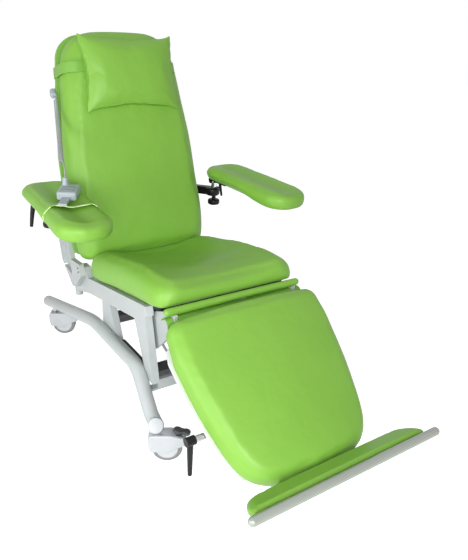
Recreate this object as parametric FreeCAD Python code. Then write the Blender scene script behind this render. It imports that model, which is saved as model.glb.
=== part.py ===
import FreeCAD, Part
import math
import os

Vector = FreeCAD.Vector
Rotation = FreeCAD.Rotation
Placement = FreeCAD.Placement

# Reclining phlebotomy chair, in millimetres. +Z is up, the chair faces -Y, +X is the
# sitter's left, and the origin is on the floor midway between the four castor stems.

# Shared clearances, walls and one overrun for every cut
overrun = 2.0
weld_gap = 0.3
seat_gap = 0.3
running_gap = 0.08
side_gap = 1.0
tube_wall = 2.5

# Shares that shape the pads' sections and ends
shoulder_share = 0.86
waist_share = 0.55
foot_share = 0.3
end_lift_share = 0.25
half_square_share = 0.5
shoulder_drop_share = 0.1
end_shares = (0.0, 0.06, 0.2, 0.45, 1.0)
middle_shares = (0.3, 0.5, 0.7)
end_drop_share = 0.6

# Castors
wheel_radius = 50.0
wheel_width = 32.0
wheel_round = 6.0
hub_radius = 36.0
hub_step = 2.0
axle_radius = 5.0
castor_trail = 36.0
castor_heading = -30.0
stem_x = 304.0
stem_y = 509.0
stem_radius = 11.0
hood_wall = 6.0
hood_gap = 4.0
hood_radius = 62.0
hood_top = 107.0
hood_neck = 26.0
stem_hold = 12.0
hood_skirt = 42.0
hood_round = 5.0
pedal_reach = 32.0
pedal_width = 44.0
pedal_thick = 11.0
pedal_pin_x = 76.0
pedal_pin_z = 88.0
pedal_slot = 7.0

# Side tubes: corner points of one tube's centre line and the bend at each
tube_radius = 24.0
tube_ends_x = 305.0
tube_mid_x = 289.0
tube_rear_y = 600.0
tube_rear_z = 124.0
tube_arch_y = 55.0
tube_arch_z = 259.0
tube_drop_y = -340.0
tube_drop_z = 264.0
tube_foot_y = -478.0
tube_foot_z = 155.0
tube_front_y = -516.0
tube_front_z = 138.0
arch_bend = 500.0
drop_bend = 110.0
foot_bend = 60.0

# Side rails and posts of the seat frame
rail_x = 273.0
rail_wide = 25.0
seat_tilt = 10.3
rail_front_y = -374.0
rail_front_z = 498.0
rail_length = 516.0
rail_nose = 42.0
rail_cap_long = 12.0
rail_deep = 62.0
rail_slope = 90.0
rail_tail_y = 284.0
rail_tail_z = 310.0
rail_tail_deep = 26.0
rail_round = 8.0
ear_rise_share = 0.7
front_post_top = (-378.0, -282.0)
front_post_foot = (-428.0, -378.0)
rear_post_top = (-66.0, -6.0)
rear_post_foot = (-148.0, -4.0)
post_foot_z = 262.0
post_lap = 30.0

# Cross members
cross_tube_y = -398.0
cross_tube_z = 214.0
cross_tube_deep = 30.0
cross_tube_high = 38.0
tray_y = -378.0
tray_deep = 56.0
tray_z = 250.0
beam_y = -78.0
beam_z = 322.0
beam_deep = 46.0
beam_high = 28.0
strip_wide = 18.0
strip_thick = 10.0
strip_lead = 13.6
seat_beam_high = 26.0
seat_beam_deep = 34.0
seat_beam_places = (60.0, 440.0)

# Seat
board_thick = 12.0
seat_front = -116.0
seat_length = 607.0
seat_half = 272.0
seat_thick = 118.0
seat_corner = 62.0
seat_edge = 42.0
seat_dish = 18.0
seat_lift_share = 0.7
seat_height_shares = ((0.0, 0.68), (0.07, 0.76), (0.21, 0.9), (0.42, 0.98), (0.75, 0.94), (1.0, 0.86))

# Backrest
hinge_y = 188.0
hinge_z = 424.0
back_y = 135.0
back_z = 492.0
back_recline = 15.4
back_length = 849.0
back_thick = 112.0
shell_thick = 26.0
back_corner = 104.0
back_low_corner = 42.0
back_edge = 46.0
back_crown = 10.0
back_half = 284.0
back_half_shares = ((0.0, 0.975), (0.18, 1.0), (0.46, 0.985), (0.74, 0.885), (1.0, 0.765))
hinge_pin_radius = 9.0
ear_radius = 24.0
frame_wide = 20.0
frame_web = 5.0
frame_deep = 118.0
frame_flange = 38.0
frame_reach = 270.0
frame_tip = 30.0
frame_tip_drop = 124.0
frame_lip_share = 0.33
frame_low_share = 0.06
frame_mid_share = 0.48
slot_rim_share = 0.4
slot_tip_share = 0.6
slot_top_share = 0.82
shell_inset = -2.0
shell_round = 8.0
hinge_head = 5.0
crossbar_deep = 20.0
crossbar_high = 40.0
crossbar_places = (30.0, 225.0, 560.0)
spine_x = 110.0
spine_wide = 30.0
spine_thick = 14.0

# Headrest pillow and its strap
pillow_length = 272.0
pillow_half = 194.0
pillow_waist = 12.0
pillow_thick = 78.0
pillow_ear = 7.0
pillow_from_top = 306.0
strap_from_top = 159.0
strap_wide = 40.0
strap_thick = 2.0
strap_gap = 0.5
strap_slack = 4.0
strap_bend = 9.0
pillow_shares = (0.0, 0.06, 0.2, 0.5, 0.8, 0.94, 1.0)

# Armrests
arm_x = 370.0
arm_y = 245.0
post_radius = 12.5
post_length = 30.0
trunnion_radius = 8.0
bracket_z = 658.0
bracket_place = 218.0
bracket_thick = 20.0
bracket_foot = 34.0
bracket_wide = 34.0
bracket_ring = 27.0
bracket_low_ring = 16.0
bracket_floor = 8.0
head_thick = 5.0
head_long = 110.0
head_wide = 44.0
head_bolt = 4.0
cheek_share = 1.6
pad_length = 508.0
pad_half = 98.0
pad_thick = 66.0
pad_round = 30.0
pad_low_round = 24.0
pad_corner = 88.0
pad_offset_x = 13.0
pad_rear = 12.0
pad_tilt = 4.0
arm_turn = 6.5
knob_radius = 22.0
knob_high = 22.0
knob_neck = 9.0
knob_drop = 20.0
knob_screw = 4.5
knob_core_share = 0.7
knob_lobes = 5
tilt_hub_radius = 8.5
tilt_hub_long = 16.0
tilt_lever_long = 78.0
tilt_lever_radius = 7.0
tilt_lever_tip = 5.0
lever_lean_share = 0.25

# Sleeve, handset and curly cord on the left armrest
sleeve_thick = 3.0
sleeve_gap = 0.6
sleeve_edge = 345.0
sleeve_hem = 12.0
handset_wide = 66.0
handset_long = 98.0
handset_high = 30.0
handset_round = 7.0
handset_place = 233.0
handset_shift = 22.0
handset_rise = 0.3
handset_turn = 30.0
handset_neck_radius = 9.0
handset_neck_x = 18.0
handset_neck_high = 30.0
spout_share = 0.6
hook_wide = 28.0
hook_thick = 7.0
hook_reach = 68.0
button_wide = 38.0
button_long = 22.0
button_high = 3.0
button_proud = 1.5
button_gap = 0.5
button_place_shares = (0.08, -0.22)
cord_wire = 4.4
cord_outer = 17.0
cord_half_turns = 140
cord_sag = 14.0
gland_radius = 12.0
gland_long = 24.0
cord_top_place = 640.0
tail_run = 20.0
bend_run_share = 0.45
gap_steps = 3

# Legrest
leg_y = -557.0
leg_z = 531.5
leg_angle = 40.1
leg_length = 540.0
leg_half = 296.0
leg_thick = 68.0
leg_corner = 70.0
leg_low_corner = 105.0
leg_edge = 30.0
leg_crown = 18.0
leg_half_shares = ((0.0, 0.985), (0.2, 1.0), (0.45, 0.97), (0.7, 0.89), (0.88, 0.81), (1.0, 0.745))
leg_board_proud = 4.0
leg_board_in = 12.0
leg_hinge_y = -494.0
leg_hinge_z = 480.0
leg_hinge_radius = 10.0
lug_radius = 16.0
hinge_arm_x = 236.0
hinge_arm_wide = 10.0
hinge_arm_foot_y = -352.0
hinge_arm_foot_z = 330.0
hinge_arm_deep = 46.0
guide_x = 120.0
guide_size = 30.0
guide_wall = 3.0
slide_gap = 0.5
guide_start = 60.0
guide_end = 500.0
slide_hold_share = 2.0
lug_thick = 10.0
roll_radius = 14.5
roll_half = 266.0
roll_y = -493.0
roll_z = 521.0

# Footrest
bar_radius = 13.0
bar_half = 348.0
bar_ahead = 53.91
bar_above = 119.05
foot_angle = 24.2
foot_plate_thick = 6.0
foot_plate_half = 296.0
foot_plate_deep = 106.0
foot_pad_half = 318.0
foot_pad_deep = 84.0
foot_pad_thick = 26.0
foot_pad_edge = 12.0
foot_pad_corner = 66.0
foot_bracket_half = 150.0
foot_bracket_thick = 8.0
foot_bracket_share = 0.4
foot_tongue = 34.0
foot_travel = 110.0
clamp_place = 337.0
clamp_x = 302.0
clamp_plate_x = 232.0
clamp_screw_radius = 7.0
clamp_collar_radius = 9.0
clamp_hub_radius = 14.0
clamp_hub_long = 30.0
clamp_arm_long = 118.0
clamp_arm_root = 10.0
clamp_arm_tip = 7.0

# Linear actuators, one for the backrest and one for the legrest
actuator_x = 70.0
motor_radius = 24.0
motor_long = 110.0
jacket_radius = 17.0
gear_wall = 3.0
gear_long = 34.0
ram_radius = 10.0
ram_bare = 170.0
ram_hold = 120.0
eye_wide_share = 0.8
actuator_pin = 6.0
actuator_eye = 13.0
back_base_y = -262.0
back_base_z = 378.0
back_crank_drop = 112.0
back_crank_deep = 142.0
leg_base_y = -226.0
leg_base_z = 300.0
leg_crank_place = 180.0
leg_crank_drop = 122.0
fork_thick = 6.0
control_long = 150.0
control_wide = 110.0
control_high = 44.0
control_x = 170.0
control_place = 340.0
socket_x = 256.0
socket_radius = 12.6
socket_wall = 3.0
socket_long = 80.0
socket_screw = 5.0
frame_knob_radius = 13.0
frame_knob_long = 16.0
cable_radius = 4.5
cable_route = ((-205.0, -324.0, 446.0), (-205.0, -332.0, 404.0), (-210.0, -352.0, 362.0),
               (-200.0, -370.0, 322.0), (-178.0, -378.0, 288.0), (-170.0, -378.0, 262.0))


# Helpers
def box(x0, x1, y0, y1, z0, z1):
    return Part.makeBox(x1 - x0, y1 - y0, z1 - z0, Vector(x0, y0, z0))


def rod(radius, start, end):
    along = end - start
    return Part.makeCylinder(radius, along.Length, start, along)


def pipe(outer, inner, start, end):
    return rod(outer, start, end).cut(rod(inner, start, end))


def mirrored(shape):
    return shape.mirror(Vector(0, 0, 0), Vector(1, 0, 0))


def tilted(shape, angle, y, z):
    """Turn a shape about the X axis, then move its origin to (y, z)."""
    moved = shape.copy()
    moved.Placement = Placement(Vector(0, y, z), Rotation(Vector(1, 0, 0), angle))
    return moved


def tilted_point(point, angle, y, z):
    return Placement(Vector(0, y, z), Rotation(Vector(1, 0, 0), angle)).multVec(point)


def corner_arc(before, corner, after, radius):
    """The two tangent points of a rounded corner and the middle of its arc."""
    back, ahead = (before - corner).normalize(), (after - corner).normalize()
    half = back.getAngle(ahead) / 2
    reach = radius / math.tan(half)
    inward = (back + ahead).normalize()
    middle = corner + inward * (radius / math.sin(half) - radius)
    return corner + back * reach, middle, corner + ahead * reach


def rounded_loop(points, radii):
    """A closed wire through corner points, every corner an arc; radii is one or one each."""
    count = len(points)
    if not isinstance(radii, list):
        radii = [radii] * count
    arcs = [corner_arc(points[i - 1], points[i], points[(i + 1) % count], radii[i])
            for i in range(count)]
    edges = []
    for i, (first, middle, last) in enumerate(arcs):
        edges.append(Part.Arc(first, middle, last).toShape())
        edges.append(Part.LineSegment(last, arcs[(i + 1) % count][0]).toShape())
    return Part.Wire(edges)


def rounded_path(points, radii):
    """An open wire of straight runs joined by tangent arcs."""
    edges = []
    place = points[0]
    for i, radius in enumerate(radii):
        first, middle, last = corner_arc(points[i], points[i + 1], points[i + 2], radius)
        edges.append(Part.LineSegment(place, first).toShape())
        edges.append(Part.Arc(first, middle, last).toShape())
        place = last
    edges.append(Part.LineSegment(place, points[-1]).toShape())
    return Part.Wire(edges)


def swept_rod(points, radii, radius):
    path = rounded_path(points, radii)
    ring = Part.Wire(Part.Circle(points[0], points[1] - points[0], radius).toShape())
    return path.makePipeShell([ring], True, False)


def side_plate(points, radius, x0, x1):
    """A plate in the YZ plane with rounded corners, from x0 to x1."""
    loop = rounded_loop([Vector(x0, y, z) for y, z in points], radius)
    return Part.Face(loop).extrude(Vector(x1 - x0, 0, 0))


def plan_plate(points, radius, z0, z1):
    loop = rounded_loop([Vector(x, y, z0) for x, y in points], radius)
    return Part.Face(loop).extrude(Vector(0, 0, z1 - z0))


def soft_box(x0, x1, y0, y1, z0, z1, radius):
    """A box with all its edges rounded."""
    solid = box(x0, x1, y0, y1, z0, z1)
    return solid.makeFillet(radius, solid.Edges)


def soft_plate(x0, x1, y0, y1, corners, z0, z1, rounds):
    """A pad with a rounded outline; corners are (y0, y1) radii, rounds are (lower, upper)."""
    points = [Vector(x0, y0, z0), Vector(x1, y0, z0), Vector(x1, y1, z0), Vector(x0, y1, z0)]
    loop = rounded_loop(points, [corners[0], corners[0], corners[1], corners[1]])
    pad = Part.Face(loop).extrude(Vector(0, 0, z1 - z0))
    for z, radius in zip((z0, z1), rounds):
        rim = [edge for edge in pad.Edges
               if abs(edge.BoundBox.ZMin - z) < running_gap and abs(edge.BoundBox.ZMax - z) < running_gap]
        pad = pad.makeFillet(radius, rim)
    return pad


def between(shares, place):
    """Read a list of (place, value) pairs at one place."""
    for (a, low), (b, high) in zip(shares, shares[1:]):
        if place <= b:
            return low + (high - low) * (place - a) / (b - a)
    return shares[-1][1]


def round_drop(distance, radius):
    """How far a quarter-round edge has dropped, a distance in from its end."""
    if distance >= radius:
        return 0.0
    return radius - math.sqrt(radius ** 2 - (radius - distance) ** 2)


def pad_section(y, half, low, high, edge, crown):
    """One slice across a pad: drawn-in foot, rounded shoulders and a crowned or dished face."""
    tall = high - low
    edge = min(edge, tall * shoulder_share, half * shoulder_share)
    waist = low + (tall - edge) * waist_share
    foot = half - edge * foot_share
    lean = math.sqrt(half_square_share)
    shoulder = high - edge * shoulder_drop_share
    inner = half - edge
    right = [Vector(foot, y, low), Vector(foot + (half - foot) * lean, y, low + (waist - low) * (1 - lean)),
             Vector(half, y, waist),
             Vector(inner + edge * lean, y, waist + (shoulder - waist) * lean), Vector(inner, y, shoulder)]
    left = [Vector(-p.x, y, p.z) for p in right]
    edges = [Part.LineSegment(left[0], right[0]), Part.Arc(right[0], right[1], right[2]),
             Part.Arc(right[2], right[3], right[4]),
             Part.Arc(right[4], Vector(0, y, shoulder + crown), left[4]),
             Part.Arc(left[4], left[3], left[2]), Part.Arc(left[2], left[1], left[0])]
    return Part.Wire([edge.toShape() for edge in edges])


def pad_loft(start, length, half_at, high_at, low, edge, crown, corners, lift=end_lift_share):
    """Loft a pad along Y from its slices, with rounded ends; corners are (start, end) radii."""
    first, last = corners
    places = [first * share for share in end_shares]
    places += [length * share for share in middle_shares if first < length * share < length - last]
    places += [length - last * share for share in reversed(end_shares)]
    slices = []
    for place in places:
        inset = round_drop(place, first) + round_drop(length - place, last)
        drop = round_drop(place, edge) + round_drop(length - place, edge)
        high = high_at(place) - drop * end_drop_share
        slices.append(pad_section(start + place, half_at(place) - inset, low + drop * lift, high,
                                  edge, crown))
    pad = Part.makeLoft(slices, True, False)
    reach = length + edge
    flat = box(-reach, reach, start - edge, start + length + edge, low, low + reach)
    return pad.common(flat)


# Placements of the tilted frames
def on_seat(shape):
    return tilted(shape, -seat_tilt, rail_front_y, rail_front_z)


def on_back(shape):
    return tilted(shape, 90 - back_recline, back_y, back_z)


def on_leg(shape):
    return tilted(shape, leg_angle, leg_y, leg_z)


def on_foot(shape):
    bar_y, bar_z = leg_point(-leg_length - bar_ahead, bar_above)
    return tilted(shape, -foot_angle, bar_y, bar_z)


def seat_point(y, z):
    point = tilted_point(Vector(0, y, z), -seat_tilt, rail_front_y, rail_front_z)
    return point.y, point.z


def back_point(y, z):
    point = tilted_point(Vector(0, y, z), 90 - back_recline, back_y, back_z)
    return point.y, point.z


def leg_point(y, z):
    point = tilted_point(Vector(0, y, z), leg_angle, leg_y, leg_z)
    return point.y, point.z


# Base frame
def tube_corners(side):
    return [Vector(side * tube_ends_x, tube_rear_y, tube_rear_z),
            Vector(side * tube_mid_x, tube_arch_y, tube_arch_z),
            Vector(side * tube_mid_x, tube_drop_y, tube_drop_z),
            Vector(side * tube_ends_x, tube_foot_y, tube_foot_z),
            Vector(side * tube_ends_x, tube_front_y, tube_front_z)]


def tube_solid(side, radius):
    return swept_rod(tube_corners(side), (arch_bend, drop_bend, foot_bend), radius)


def stem_tops():
    """How high a front and a rear castor stem reach, to the middle of the tube."""
    rise = (tube_arch_z - tube_rear_z) / (tube_rear_y - tube_arch_y)
    return tube_front_z, tube_rear_z + (tube_rear_y - stem_y) * rise


def side_tubes():
    tubes = []
    for side in (-1, 1):
        tube = tube_solid(side, tube_radius).cut(tube_solid(side, tube_radius - tube_wall))
        for y in (-stem_y, stem_y):
            tube = tube.cut(rod(stem_radius + weld_gap, Vector(side * stem_x, y, hood_top),
                                Vector(side * stem_x, y, stem_tops()[y > 0])))
        tubes.append(tube)
    return tubes


def tube_end_caps():
    caps = []
    for side in (-1, 1):
        corners = tube_corners(side)
        for end, inward in ((corners[0], corners[1]), (corners[-1], corners[-2])):
            out = (end - inward).normalize()
            ball = Part.makeSphere(tube_radius, end)
            start = end + out * weld_gap
            keep = rod(tube_radius + overrun, start, start + out * (tube_radius + overrun))
            foot = Vector(side * stem_x, math.copysign(stem_y, end.y), 0)
            stem = rod(stem_radius + weld_gap, foot, foot + Vector(0, 0, tube_arch_z))
            caps.append(ball.common(keep).cut(stem))
    block = on_seat(box(rail_x - rail_wide, rail_x, -rail_cap_long, -weld_gap, -rail_nose + rail_round,
                        -weld_gap))
    return caps + [block, mirrored(block)]


def castor_stems():
    stems = []
    for side in (-1, 1):
        for y, top in zip((-stem_y, stem_y), stem_tops()):
            stems.append(rod(stem_radius, Vector(side * stem_x, y, hood_top - stem_hold),
                             Vector(side * stem_x, y, top)))
    return stems


def cope(shape, side):
    """Cut a member's end to the side tube that it's welded to."""
    return shape.cut(tube_solid(side, tube_radius + weld_gap))


def rail_outline():
    nose = seat_point(0, -rail_nose)
    ear_top = (hinge_y + ear_radius, hinge_z + ear_radius * ear_rise_share)
    ear_front = (hinge_y - ear_radius, hinge_z + ear_radius * ear_rise_share)
    return [seat_point(0, 0), nose, seat_point(rail_slope, -rail_deep), seat_point(rail_length, -rail_deep),
            (rail_tail_y, rail_tail_z - rail_tail_deep / 2), (rail_tail_y, rail_tail_z + rail_tail_deep / 2),
            ear_top, ear_front, seat_point(rail_length, 0)]


def seat_rails():
    plate = side_plate(rail_outline(), rail_round, rail_x - rail_wide, rail_x)
    bore = rod(hinge_pin_radius + running_gap, Vector(0, hinge_y, hinge_z),
               Vector(rail_x + overrun, hinge_y, hinge_z))
    plate = plate.cut(bore)
    arm = hinge_arm()
    return [plate, mirrored(plate), arm, mirrored(arm)]


def hinge_arm():
    """The arm that carries the legrest's hinge tube, with a saddle for the roll."""
    front, top = leg_hinge_y - lug_radius - side_gap * 3, roll_z - roll_radius / 2
    low = -board_thick - weld_gap - seat_beam_high
    foot = (hinge_arm_foot_y - hinge_arm_deep / 2, hinge_arm_foot_y + hinge_arm_deep / 2)
    arm = side_plate([(front, top), (front, leg_hinge_z - ear_radius), (foot[0], hinge_arm_foot_z),
                      (foot[1], hinge_arm_foot_z), seat_point(seat_beam_places[0], low),
                      (leg_hinge_y + roll_radius, top)],
                     rail_round / 2, hinge_arm_x - hinge_arm_wide, hinge_arm_x)
    reach = Vector(hinge_arm_x * 2, 0, 0)
    roll, tube = Vector(0, roll_y, roll_z), Vector(0, leg_hinge_y, leg_hinge_z)
    arm = arm.cut(rod(roll_radius + seat_gap, roll, roll + reach))
    arm = arm.cut(rod(leg_hinge_radius + weld_gap, tube, tube + reach))
    grown = seat_beam_deep / 2 + weld_gap
    beam = box(0, hinge_arm_x * 2, seat_beam_places[0] - grown, seat_beam_places[0] + grown, low - weld_gap,
               overrun)
    return max(arm.cut(on_seat(beam)).Solids, key=lambda solid: solid.Volume)


def post(top, foot):
    """A tapered post from the rail down to the side tube."""
    rail_low = [seat_point((y - rail_front_y) / math.cos(math.radians(seat_tilt)),
                           -rail_deep - weld_gap)[1] for y in top]
    points = [(top[0], rail_low[0] + post_lap), (foot[0], post_foot_z - post_lap),
              (foot[1], post_foot_z - post_lap), (top[1], rail_low[1] + post_lap)]
    plate = side_plate(points, weld_gap, rail_x - rail_wide, rail_x)
    plate = plate.cut(side_plate(rail_outline(), rail_round, rail_x - rail_wide - overrun, rail_x + overrun))
    plate = max(plate.Solids, key=lambda solid: solid.Volume)
    return cope(plate, 1)


def posts():
    right = [post(front_post_top, front_post_foot), post(rear_post_top, rear_post_foot)]
    return right + [mirrored(shape) for shape in right]


def cross_tubes():
    bar = box(-tube_mid_x, tube_mid_x,
              cross_tube_y - cross_tube_deep / 2, cross_tube_y + cross_tube_deep / 2,
              cross_tube_z - cross_tube_high / 2, cross_tube_z + cross_tube_high / 2)
    bar = bar.cut(tube_solid(1, tube_radius + weld_gap)).cut(tube_solid(-1, tube_radius + weld_gap))
    bar = bar.cut(posts_block())
    return [max(bar.Solids, key=lambda solid: solid.Volume)]


def posts_block():
    """The posts grown by the weld gap on their inner faces, to cut what butts against them."""
    grown = [box(side * (rail_x - rail_wide - weld_gap) - (0 if side > 0 else rail_wide * 2),
                 side * (rail_x - rail_wide - weld_gap) + (rail_wide * 2 if side > 0 else 0),
                 front_post_foot[0], front_post_foot[1], post_foot_z - post_lap * 2, rail_front_z)
             for side in (-1, 1)]
    return grown[0].fuse(grown[1])


def cross_beams():
    inner = rail_x - rail_wide - weld_gap
    tray = box(-inner, inner, tray_y - tray_deep / 2, tray_y + tray_deep / 2, tray_z - strip_thick,
               tray_z + strip_thick)
    beam = box(-inner, inner, beam_y - beam_deep / 2, beam_y + beam_deep / 2, beam_z - beam_high / 2,
               beam_z + beam_high / 2)
    strip = box(rail_x - rail_wide, rail_x - rail_wide + strip_wide, front_post_foot[1] + strip_lead,
                rear_post_foot[0] - weld_gap, post_foot_z - strip_thick, post_foot_z)
    strip = cope(strip, 1)
    shapes = [tray, beam, strip, mirrored(strip)]
    for place in seat_beam_places:
        bar = box(-inner, inner, place - seat_beam_deep / 2, place + seat_beam_deep / 2,
                  -board_thick - weld_gap - seat_beam_high, -board_thick - weld_gap)
        shapes.append(on_seat(bar))
    return shapes + base_forks()


def seat_board():
    edge = rail_x - rail_wide - side_gap
    front = seat_front + seat_corner
    board = plan_plate([(-edge, front), (edge, front), (edge, rail_length), (-edge, rail_length)],
                       rail_round, -board_thick, 0)
    return [on_seat(board)]


def seat_cushion():
    high_at = lambda place: seat_gap + seat_thick * between(seat_height_shares, place / seat_length)
    cushion = pad_loft(seat_front, seat_length, lambda place: seat_half, high_at, seat_gap, seat_edge,
                       -seat_dish, (seat_corner, back_low_corner), lift=seat_lift_share)
    return [on_seat(cushion)]


# Castors: modelled on their swivel axis, wheel towards +X, then turned and placed
def castor_place(shape, side, y):
    moved = shape.copy()
    moved.Placement = Placement(Vector(side * stem_x, y, 0), Rotation(Vector(0, 0, 1), castor_heading))
    return moved


def castor_hood():
    half = wheel_width / 2 + hood_gap + hood_wall
    crown = castor_trail + hood_radius * half_square_share ** 0.5
    neck = [Vector(-hood_neck, -half, hood_skirt + hood_neck), Vector(-hood_neck, -half, hood_top),
            Vector(crown - hood_radius / 2, -half, hood_top),
            Vector(castor_trail + hood_radius, -half, wheel_radius + hood_skirt),
            Vector(castor_trail + hood_radius, -half, hood_skirt),
            Vector(-hood_neck + hood_wall, -half, hood_skirt)]
    hood = Part.Face(rounded_loop(neck, hood_neck * half_square_share)).extrude(Vector(0, 2 * half, 0))
    flats = [edge for edge in hood.Edges if abs(abs(edge.CenterOfMass.y) - half) < running_gap]
    hood = hood.makeFillet(hood_round, flats)
    room = wheel_radius + hood_gap
    well = Part.makeCylinder(room, wheel_width + 2 * hood_gap,
                             Vector(castor_trail, -wheel_width / 2 - hood_gap, wheel_radius),
                             Vector(0, 1, 0))
    hood = hood.cut(well)
    below = box(castor_trail - room, castor_trail + room, -wheel_width / 2 - hood_gap,
                wheel_width / 2 + hood_gap, -overrun, wheel_radius)
    hood = hood.cut(below)
    seat = rod(stem_radius + running_gap, Vector(0, 0, hood_top - stem_hold - running_gap),
               Vector(0, 0, hood_top + overrun))
    hood = hood.cut(seat)
    pedal_room = box(pedal_pin_x - pedal_thick, castor_trail + hood_radius + overrun,
                     -pedal_width / 2 + hood_wall, pedal_width / 2 - hood_wall,
                     pedal_pin_z - pedal_thick, hood_top + overrun)
    hood = hood.cut(pedal_room)
    axle = rod(axle_radius, Vector(castor_trail, -half + hood_wall / 2, wheel_radius),
               Vector(castor_trail, half - hood_wall / 2, wheel_radius))
    return hood.fuse(axle)


def castor_wheel():
    half = wheel_width / 2
    centre = Vector(castor_trail, 0, wheel_radius)
    tyre = Part.makeCylinder(wheel_radius, wheel_width, centre - Vector(0, half, 0), Vector(0, 1, 0))
    rims = [edge for edge in tyre.Edges if edge.Length > wheel_radius * 2 and len(edge.Vertexes) == 1]
    tyre = tyre.makeFillet(wheel_round, rims)
    tyre = tyre.cut(Part.makeCylinder(hub_radius, wheel_width + 2 * overrun,
                                      centre - Vector(0, half + overrun, 0), Vector(0, 1, 0)))
    hub = Part.makeCylinder(hub_radius, wheel_width - 2 * hub_step, centre - Vector(0, half - hub_step, 0),
                            Vector(0, 1, 0))
    hub = hub.cut(Part.makeCylinder(axle_radius + running_gap, wheel_width + 2 * overrun,
                                    centre - Vector(0, half + overrun, 0), Vector(0, 1, 0)))
    return [tyre, hub]


def castor_pedal():
    wide = pedal_width / 2 - hood_wall - side_gap
    start, tip = pedal_pin_x - pedal_thick / 2, pedal_pin_x + pedal_reach
    plate = box(start, tip, -wide, wide, pedal_pin_z, pedal_pin_z + pedal_thick)
    notch = box(tip - pedal_reach / 2, tip + overrun, -pedal_slot / 2, pedal_slot / 2, pedal_pin_z - overrun,
                pedal_pin_z + pedal_thick + overrun)
    plate = plate.cut(notch)
    upright = [edge for edge in plate.Edges if abs(edge.Vertexes[0].X - edge.Vertexes[-1].X) < running_gap
               and abs(edge.Vertexes[0].Y - edge.Vertexes[-1].Y) < running_gap
               and edge.CenterOfMass.x > tip - running_gap]
    plate = plate.makeFillet(pedal_slot * half_square_share, upright)
    return plate


# Backrest: pads lie face up in their own frame, so the back's rear is at negative z
def back_half_at(place):
    return back_half * between(back_half_shares, place / back_length)


def back_cushion():
    cushion = pad_loft(0, back_length, back_half_at, lambda place: 0.0, -back_thick, back_edge, back_crown,
                       (back_low_corner, back_corner))
    return [on_back(cushion)]


def back_face():
    """Height of the back cushion's crown in the back's own frame."""
    return back_crown - back_edge * shoulder_drop_share


def back_rear():
    """The back shell's rear face, where the frame bears on it."""
    return -back_thick - shell_thick - seat_gap * 2


def shell_loop(z):
    """The backrest's outline as straight tapers with four rounded corners."""
    inside = [(back_half * value - shell_inset, back_length * share)
              for share, value in back_half_shares[1:-1]]
    low, high = shell_inset, back_length - shell_inset
    right = [(back_half * back_half_shares[0][1] - shell_inset, low)] + inside
    right.append((back_half * back_half_shares[-1][1] - shell_inset, high))
    corners = [Vector(x, y, z) for x, y in right] + [Vector(-x, y, z) for x, y in reversed(right)]
    last = len(corners) - 1
    radii = {0: back_low_corner, last: back_low_corner, len(right) - 1: back_corner, len(right): back_corner}
    stops = []
    for i, corner in enumerate(corners):
        if i in radii:
            stops.append(corner_arc(corners[i - 1], corner, corners[(i + 1) % len(corners)], radii[i]))
        else:
            stops.append((corner, None, corner))
    edges = []
    for i, (first, middle, final) in enumerate(stops):
        if middle:
            edges.append(Part.Arc(first, middle, final).toShape())
        edges.append(Part.LineSegment(final, stops[(i + 1) % len(stops)][0]).toShape())
    return Part.Wire(edges)


def back_shell():
    """Moulded rear shell, with the elbow that the handset's cord comes out of."""
    top = -back_thick - seat_gap
    body = Part.Face(shell_loop(top)).extrude(Vector(0, 0, -shell_thick))
    rear = [edge for edge in body.Edges if abs(edge.BoundBox.ZMax - (top - shell_thick)) < running_gap]
    body = on_back(body.makeFillet(shell_round, rear))
    elbow, mouth, way = cord_exit()
    root = Vector(elbow.x + gland_long, elbow.y, elbow.z)
    gland = rod(gland_radius, root, elbow).fuse(Part.makeSphere(gland_radius, elbow))
    spout = Part.makeCone(gland_radius, gland_radius * spout_share, gland_long, elbow, mouth - elbow)
    return [body.fuse(gland).fuse(spout)]


def cord_exit():
    """The elbow's middle beside the shell, and the mouth that the cord leaves."""
    y, z = back_point(cord_top_place, -back_thick - seat_gap - shell_thick / 2)
    elbow = Vector(-back_half_at(cord_top_place) - gland_radius + side_gap, y, z)
    way = (elbow - neck_top()[0]).normalize()
    return elbow, elbow - way * gland_long, way


def hinge_in_back():
    """The recline hinge in the back's own frame."""
    frame = Placement(Vector(0, back_y, back_z), Rotation(Vector(1, 0, 0), 90 - back_recline))
    local = frame.inverse().multVec(Vector(0, hinge_y, hinge_z))
    return local.y, local.z


def frame_outline():
    """One side plate of the back frame, from its tip below the hinge up behind the shell."""
    rear = back_rear()
    along, out = hinge_in_back()
    return [(along + ear_radius, out + ear_radius), (along - ear_radius, out + ear_radius),
            (-frame_tip_drop, rear + frame_tip * frame_lip_share), (-frame_tip_drop, rear - frame_tip),
            (-frame_reach * frame_low_share, rear - frame_deep),
            (frame_reach * frame_mid_share, rear - frame_deep),
            (frame_reach, rear - frame_flange), (frame_reach, rear),
            (shell_inset - side_gap - rail_round, rear)]


def frame_side():
    """A channel-shaped side plate with its long slot pressed in from outside."""
    inner = rail_x + side_gap
    rear = back_rear()
    plate = side_plate(frame_outline(), rail_round, inner, inner + frame_wide)
    low = rear - frame_deep + frame_flange * slot_rim_share
    slot = side_plate([(-frame_tip_drop * slot_tip_share, rear - frame_tip * slot_rim_share),
                       (-frame_flange, low), (frame_reach * frame_mid_share, low),
                       (frame_reach * slot_top_share, rear - frame_flange),
                       (frame_reach * slot_top_share, rear - frame_flange * slot_rim_share),
                       (frame_flange, rear - frame_flange * slot_rim_share)],
                      rail_round / 2, inner + frame_web, inner + frame_wide + overrun)
    along, out = hinge_in_back()
    bore = rod(hinge_pin_radius + running_gap, Vector(0, along, out), Vector(rail_x * 2, along, out))
    return on_back(plate.cut(slot).cut(bore))


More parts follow.
